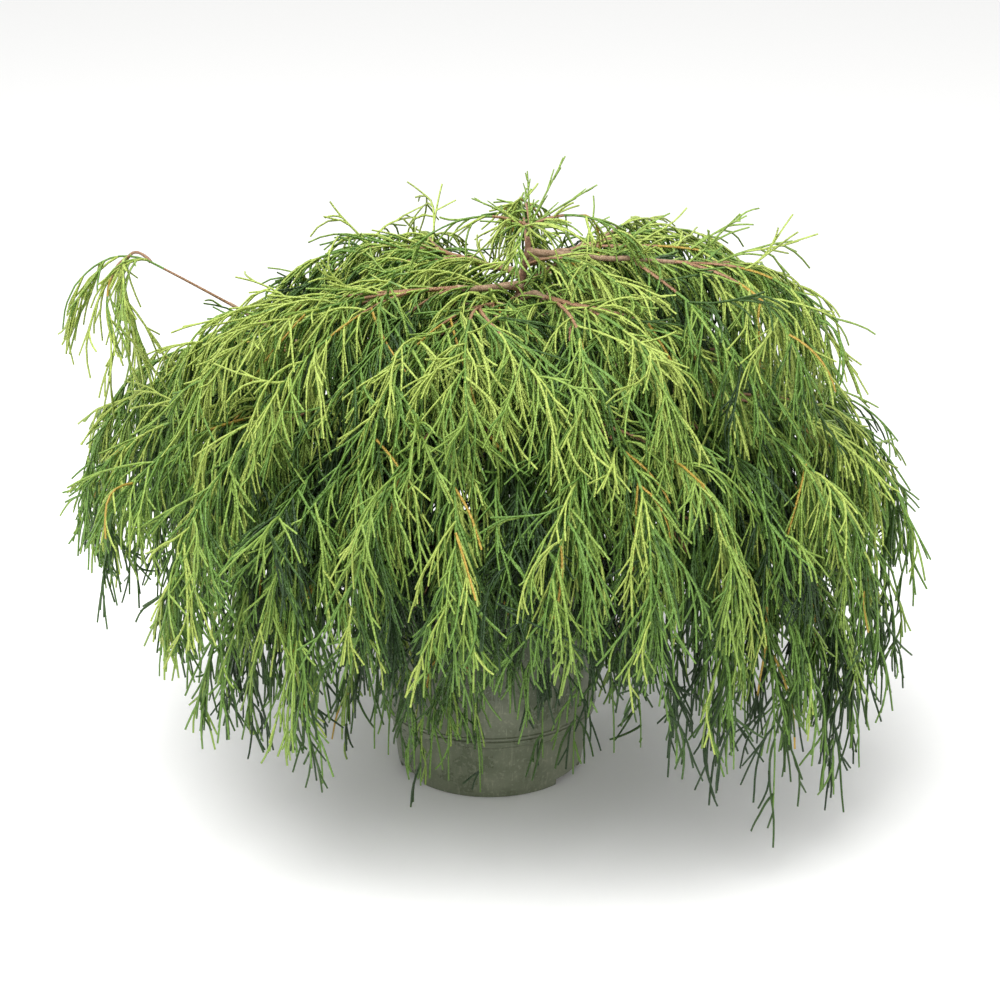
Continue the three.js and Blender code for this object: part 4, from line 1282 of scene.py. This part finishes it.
class CYPRESS_OT_mix(bpy.types.Operator):
    """Fill the pot with growing mix and strew bark chips over it"""

    bl_idname = "cypress.growing_mix"
    bl_label = "Growing Mix"

    def execute(self, context):
        settings = context.scene.cypress_pot
        dark, light = tuple(settings.peat), tuple(settings.chips)
        vertices, faces = lathe(self.profile(), MIX_SIDES)
        heaped = [(x, y, z + self.crumb(x, y, z)) for x, y, z in vertices]
        mesh = mesh_from("growing_mix_fill", heaped, faces)
        mesh.materials.append(mix_material("composted_bark_and_peat", dark, light))
        finished("growing_mix_fill", mesh, ["growing_mix"])
        self.strew(dark, light, settings.chip_density)
        return {"FINISHED"}

    @staticmethod
    def crumb(x, y, z):
        """How far the mix's top rises at a point with its crumbs, which die out towards the pot's wall."""
        if z <= MIX_TOP - 1:
            return 0
        ease = min(1, max(0, (CRUMB_EDGE - math.hypot(x, y)) / CRUMB_EASE))
        lifts = [noise.noise(Vector((x * often, y * often, seed))) * height for often, seed, height in CRUMBS]
        return ease * sum(lifts)

    @staticmethod
    def profile():
        """Radius and height: floor, wall along the inside of the pot, and the crowned top."""
        gap = POT_WALL + CLEARANCE + 0.4
        wall = POT_BELOW_BAND_RADIUS + 1 - gap
        top = mix(wall, POT_LIP_RADIUS - gap, 0.88)
        crown = [(r, MIX_TOP + MIX_CROWNING * (1 - (r / 110) ** 2)) for r in range(104, 0, -5)]
        return [
            (0, POT_FLOOR + CLEARANCE),
            (POT_FOOT_RADIUS - NOTCH_DEPTH - 1, POT_FLOOR + CLEARANCE),
            (POT_FOOT_RADIUS - gap - 1, NOTCH_HEIGHT + CLEARANCE + 1),
            (POT_BELOW_BAND_RADIUS - gap, POT_BAND_LOW),
            (top, MIX_TOP - 4),
            (top - 4, MIX_TOP - 1),
            *crown,
            (0, MIX_TOP + MIX_CROWNING),
        ]

    @staticmethod
    def strew(dark, light, density):
        """Bark chips on the top: flat torn flakes 3 to 9 mm long."""
        bed = mesh_from("chip_bed", *lathe(CHIP_BED, MIX_SIDES // 2))
        quads = [(3, 2, 1, 0), (4, 5, 6, 7), (0, 1, 5, 4), (1, 2, 6, 5), (2, 3, 7, 6), (3, 0, 4, 7)]
        chip = placed("chip", mesh_from("chip", [*CHIP_BELOW, *CHIP_ABOVE], quads))
        bark = mix_material("torn_bark_chips", mix_colour(dark, light, 0.35), light)
        mesh = grown("bark_chips", bed, chip_tree(), {"Chip": chip, "Density": density, "Material": bark})
        bpy.data.objects.remove(chip)
        finished("bark_chips", mesh)


class CYPRESS_OT_wood(bpy.types.Operator):
    """Grow the trunk and the boughs with their fibrous bark"""

    bl_idname = "cypress.wood"
    bl_label = "Trunk and Boughs"

    def execute(self, context):
        settings = context.scene.cypress_wood
        dark, light = tuple(settings.bark_dark), tuple(settings.bark_light)
        mesh = mesh_from("trunk_bark", *self.trunk(settings.relief))
        mesh.materials.append(bark_material("fibrous_bark", dark, light, settings.bark_strip))
        finished("trunk_bark", mesh, ["trunk"])
        dark, light = tuple(settings.young_dark), tuple(settings.young_light)
        limbs = grow_limbs()
        boughs = [self.bough(number, limb, settings.relief) for number, limb in enumerate(limbs)]
        mesh = mesh_from("bough_bark", *join(boughs))
        mesh.materials.append(bark_material("young_bark", dark, light, settings.young_strip))
        finished("bough_bark", mesh, ["bough_" + limb.name for limb in limbs])
        return {"FINISHED"}

    @staticmethod
    def trunk(relief):
        """Vertices and faces of the trunk, with its flare over the mix."""
        line = evenly(trunk_line(), TRUNK_STATIONS)
        height = np.linspace(0, TRUNK_TIP[2] - TRUNK_FOOT[2], TRUNK_STATIONS)
        flare = TRUNK_FLARE * np.exp(-height / TRUNK_FLARE_HEIGHT)
        radii = mix(TRUNK_RADIUS, TRUNK_TIP_RADIUS, np.linspace(0, 1, TRUNK_STATIONS)) + flare
        return tube(line, radii, TRUNK_SIDES, bark_relief(relief, 3))

    @staticmethod
    def bough(number, limb, relief):
        """Vertices and faces of a limb's bough, with its collar at the trunk and its kinks."""
        length = length_of(limb.bough)
        count = max(12, int(length / BOUGH_STATION_PITCH))
        collar = BOUGH_COLLAR * np.exp(-np.linspace(0, length, count) / BOUGH_COLLAR_LENGTH)
        radii = limb_size(np.linspace(0, limb.bare, count)) + collar
        line = kinked(evenly(limb.bough, count), BOUGH_KINK_DEPTH, number * 3.7)
        return tube(line, radii, BOUGH_SIDES, bark_relief(relief * BOUGH_RELIEF, number + 5))


class CYPRESS_OT_foliage(bpy.types.Operator):
    """Grow the weeping threads of every mass of foliage, and the leader tuft"""

    bl_idname = "cypress.foliage"
    bl_label = "Foliage"

    def execute(self, context):
        growth = context.scene.cypress_foliage
        tree = thread_tree()
        leaves = {}
        for tint in TINTS:
            colour = tuple(getattr(growth, tint))
            leaves[tint] = scale_leaf_material("threadleaf_" + tint, colour, growth.roughness)
        groups = {}
        for number, limb in enumerate(grow_limbs()):
            rng = np.random.default_rng((growth.seed, number))
            strands = self.limb_strands(limb, growth, rng)
            groups.setdefault(self.group(number, limb), []).append(("foliage_" + limb.name, strands))
        groups["top_a"].append(("foliage_leader_tuft", self.tuft(growth) + self.trunk_sprays(growth)))
        for name, members in groups.items():
            strands = [strand for _, own in members for strand in own]
            lines = lines_mesh(name, strands)
            mesh = grown("threads_" + name, lines, tree, {"Sides": 3, **leaves})
            finished("threads_" + name, mesh, [node for node, _ in members])
        return {"FINISHED"}

    @staticmethod
    def limb_strands(limb, growth, rng):
        """The threads and the thin wood of one limb, from its bough's outer part to its tip."""
        kind = limb.name.split("_")[0]
        fullness = {"far": FAR_FULLNESS, "pot": POT_FULLNESS, "low": LOW_FULLNESS}.get(kind, 1)
        # Far and pot limbs get more painted light in their tints.
        painted_light = {"far": FAR_PAINTED_LIGHT, "pot": POT_PAINTED_LIGHT}.get(kind, 0)
        bare = FAR_BARE if kind == "far" else 0
        strands = grow_spray(limb.stem, limb.twig, bare, growth, rng, painted_light, fullness)
        strands += branch_wood(limb.stem, float(limb_size(limb.bare)), STEM_TIP, rng)
        for side in limb.sides:
            strands += grow_spray(side, limb.twig, SIDE_BARE, growth, rng, painted_light, fullness)
            strands += branch_wood(side, SIDE_WOOD, SIDE_TIP, rng)
        if kind == "far":
            return strands
        # Inner branches, and the boughs but the top ones, get painted shade in their tints.
        inner_painted_light = painted_light + INNER_PAINTED_LIGHT
        bough_painted_light, bare = (0, TOP_BOUGH_BARE) if kind == "top" else (inner_painted_light, BOUGH_BARE)
        strands += grow_spray(limb.bough, limb.twig * BOUGH_TWIG, bare, growth, rng, bough_painted_light)
        for branch in limb.inner:
            strands += grow_spray(branch, limb.twig, INNER_BARE, growth, rng, inner_painted_light, INNER_FULLNESS)
            strands += branch_wood(branch, SIDE_WOOD, SIDE_TIP, rng)
        return strands

    @staticmethod
    def group(number, limb):
        """The piece that a limb's foliage goes to. Each holds a few neighbouring masses."""
        kind, own = limb.name.split("_", 1)
        if kind in ("upper", "middle"):
            return kind + "_" + "abcd"[int(own) // 2 % 4]
        if kind in ("top", "far"):
            return "top_" + "abc"[number % 3]
        return "low"

    @staticmethod
    def tuft(growth):
        """The leader tuft: bare shoots that rise from the trunk's tip over small sprays that arch out."""
        rng = np.random.default_rng((growth.seed, 99))
        thick = growth.thickness / 2
        strands = []
        for i, shape in enumerate(TUFT_SHOOTS):
            azimuth, tilt, length, dip = shape
            hand = 1 if i % 2 else -1
            line = tuft_shoot(TUFT_FOOT, *shape, SHOOT_STEPS)
            strands.append((line[None], taper(1, SHOOT_STEPS, thick, 1, 0.6), np.array([LIME])))
            for step, turn, share in TUFT_SIDE_SHOOTS:
                side = tuft_shoot(line[step], azimuth + turn * hand, tilt + 6, length * share, dip, 2)
                strands.append((side[None], taper(1, 2, thick, 0.85, 0.5), np.array([LIME])))
        for shape in TUFT_SPRAYS:
            line = tuft_shoot(TUFT_FOOT, *shape, SPRAY_STEPS)
            strands += grow_spray(line, TUFT_TWIG, SPRAY_BARE, growth, rng, 0, TUFT_FULLNESS)
            strands += branch_wood(line, SIDE_WOOD, SIDE_TIP, rng)
        return strands

    @staticmethod
    def trunk_sprays(growth):
        """Sprays that grow straight from the trunk between its boughs, and close the crown's middle."""
        rng = np.random.default_rng((growth.seed, 98))
        strands = []
        for i in range(TRUNK_SPRAYS):
            height = mix(TRUNK_SPRAY_LOW, TRUNK_SPRAY_HIGH, i / (TRUNK_SPRAYS - 1))
            length = TRUNK_SPRAY_LENGTH * rng.uniform(0.8, 1.15)
            shape = (TRUNK_SPRAY_TURN * i, TRUNK_SPRAY_TILT, length, TRUNK_SPRAY_DIP)
            line = tuft_shoot(trunk_at(height, trunk_line()), *shape, SPRAY_STEPS)
            strands += grow_spray(line, TRUNK_SPRAY_TWIG, SPRAY_BARE, growth, rng)
            strands += branch_wood(line, SIDE_WOOD, SIDE_TIP, rng)
        return strands


class CYPRESS_OT_stage(bpy.types.Operator):
    """Lay the studio floor, hang the soft lights and set the camera"""

    bl_idname = "cypress.stage"
    bl_label = "Stage"

    def execute(self, context):
        settings = context.scene.cypress_stage
        square = ((-1, -1), (1, -1), (1, 1), (-1, 1))
        corners = [(x * FLOOR_HALF, y * FLOOR_HALF, FLOOR_HEIGHT) for x, y in square]
        mesh = mesh_from("studio_floor", corners, [(0, 1, 2, 3)])
        mesh.materials.append(floor_material(tuple(settings.floor)))
        placed("studio_floor", mesh)
        world = bpy.data.worlds.new("studio_sky")
        world.use_nodes = True
        sky = world.node_tree.nodes["Background"].inputs
        sky["Color"].default_value = (1, 1, 1, 1)
        sky["Strength"].default_value = settings.sky
        context.scene.world = world
        self.lamp("overhead", *OVERHEAD_BOX, settings.key)
        self.lamp("front", *FRONT_BOX, settings.front)
        camera = placed("camera", bpy.data.cameras.new("camera"))
        camera.data.sensor_width = 36
        camera.data.lens = CAMERA_LENS
        camera.location = CAMERA_PLACE
        camera.rotation_euler = (math.radians(90 - CAMERA_DOWN), 0, 0)
        context.scene.camera = camera
        context.scene.view_settings.view_transform = "Standard"
        return {"FINISHED"}

    @staticmethod
    def lamp(name, place, size, power):
        """A square soft box aimed at the middle of the crown."""
        light = bpy.data.lights.new(name, "AREA")
        light.size, light.energy = size, power
        lamp = placed(name, light)
        lamp.location = place
        lamp.rotation_euler = (CROWN_MIDDLE - Vector(place)).to_track_quat("-Z", "Y").to_euler()


class CYPRESS_PT_panel(bpy.types.Panel):
    """The plant's pieces and what a user may change about them"""

    bl_idname = "CYPRESS_PT_panel"
    bl_label = "Threadleaf Cypress"
    bl_space_type = "VIEW_3D"
    bl_region_type = "UI"
    bl_category = "Cypress"

    def draw(self, context):
        for group, operators in PANEL_ROWS:
            box = self.layout.box()
            settings = getattr(context.scene, group)
            for name in settings.__annotations__:
                box.prop(settings, name)
            for operator in operators:
                box.operator(operator.bl_idname, text=operator.bl_label)


PANEL_ROWS = (
    ("cypress_pot", (CYPRESS_OT_pot, CYPRESS_OT_mix)),
    ("cypress_wood", (CYPRESS_OT_wood,)),
    ("cypress_foliage", (CYPRESS_OT_foliage,)),
    ("cypress_stage", (CYPRESS_OT_stage,)),
)
SETTINGS = {
    "cypress_pot": PotSettings,
    "cypress_wood": WoodSettings,
    "cypress_foliage": FoliageSettings,
    "cypress_stage": StageSettings,
}
CLASSES = (
    *SETTINGS.values(),
    CYPRESS_OT_pot,
    CYPRESS_OT_mix,
    CYPRESS_OT_wood,
    CYPRESS_OT_foliage,
    CYPRESS_OT_stage,
    CYPRESS_PT_panel,
)


def register():
    for kind in CLASSES:
        bpy.utils.register_class(kind)
    for name, kind in SETTINGS.items():
        setattr(bpy.types.Scene, name, bpy.props.PointerProperty(type=kind))


def unregister():
    for name in SETTINGS:
        delattr(bpy.types.Scene, name)
    for kind in reversed(CLASSES):
        bpy.utils.unregister_class(kind)


def main():
    register()
    bpy.ops.cypress.pot()
    bpy.ops.cypress.growing_mix()
    bpy.ops.cypress.wood()
    bpy.ops.cypress.foliage()
    bpy.ops.cypress.stage()
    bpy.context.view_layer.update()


if __name__ == "__main__":
    main()
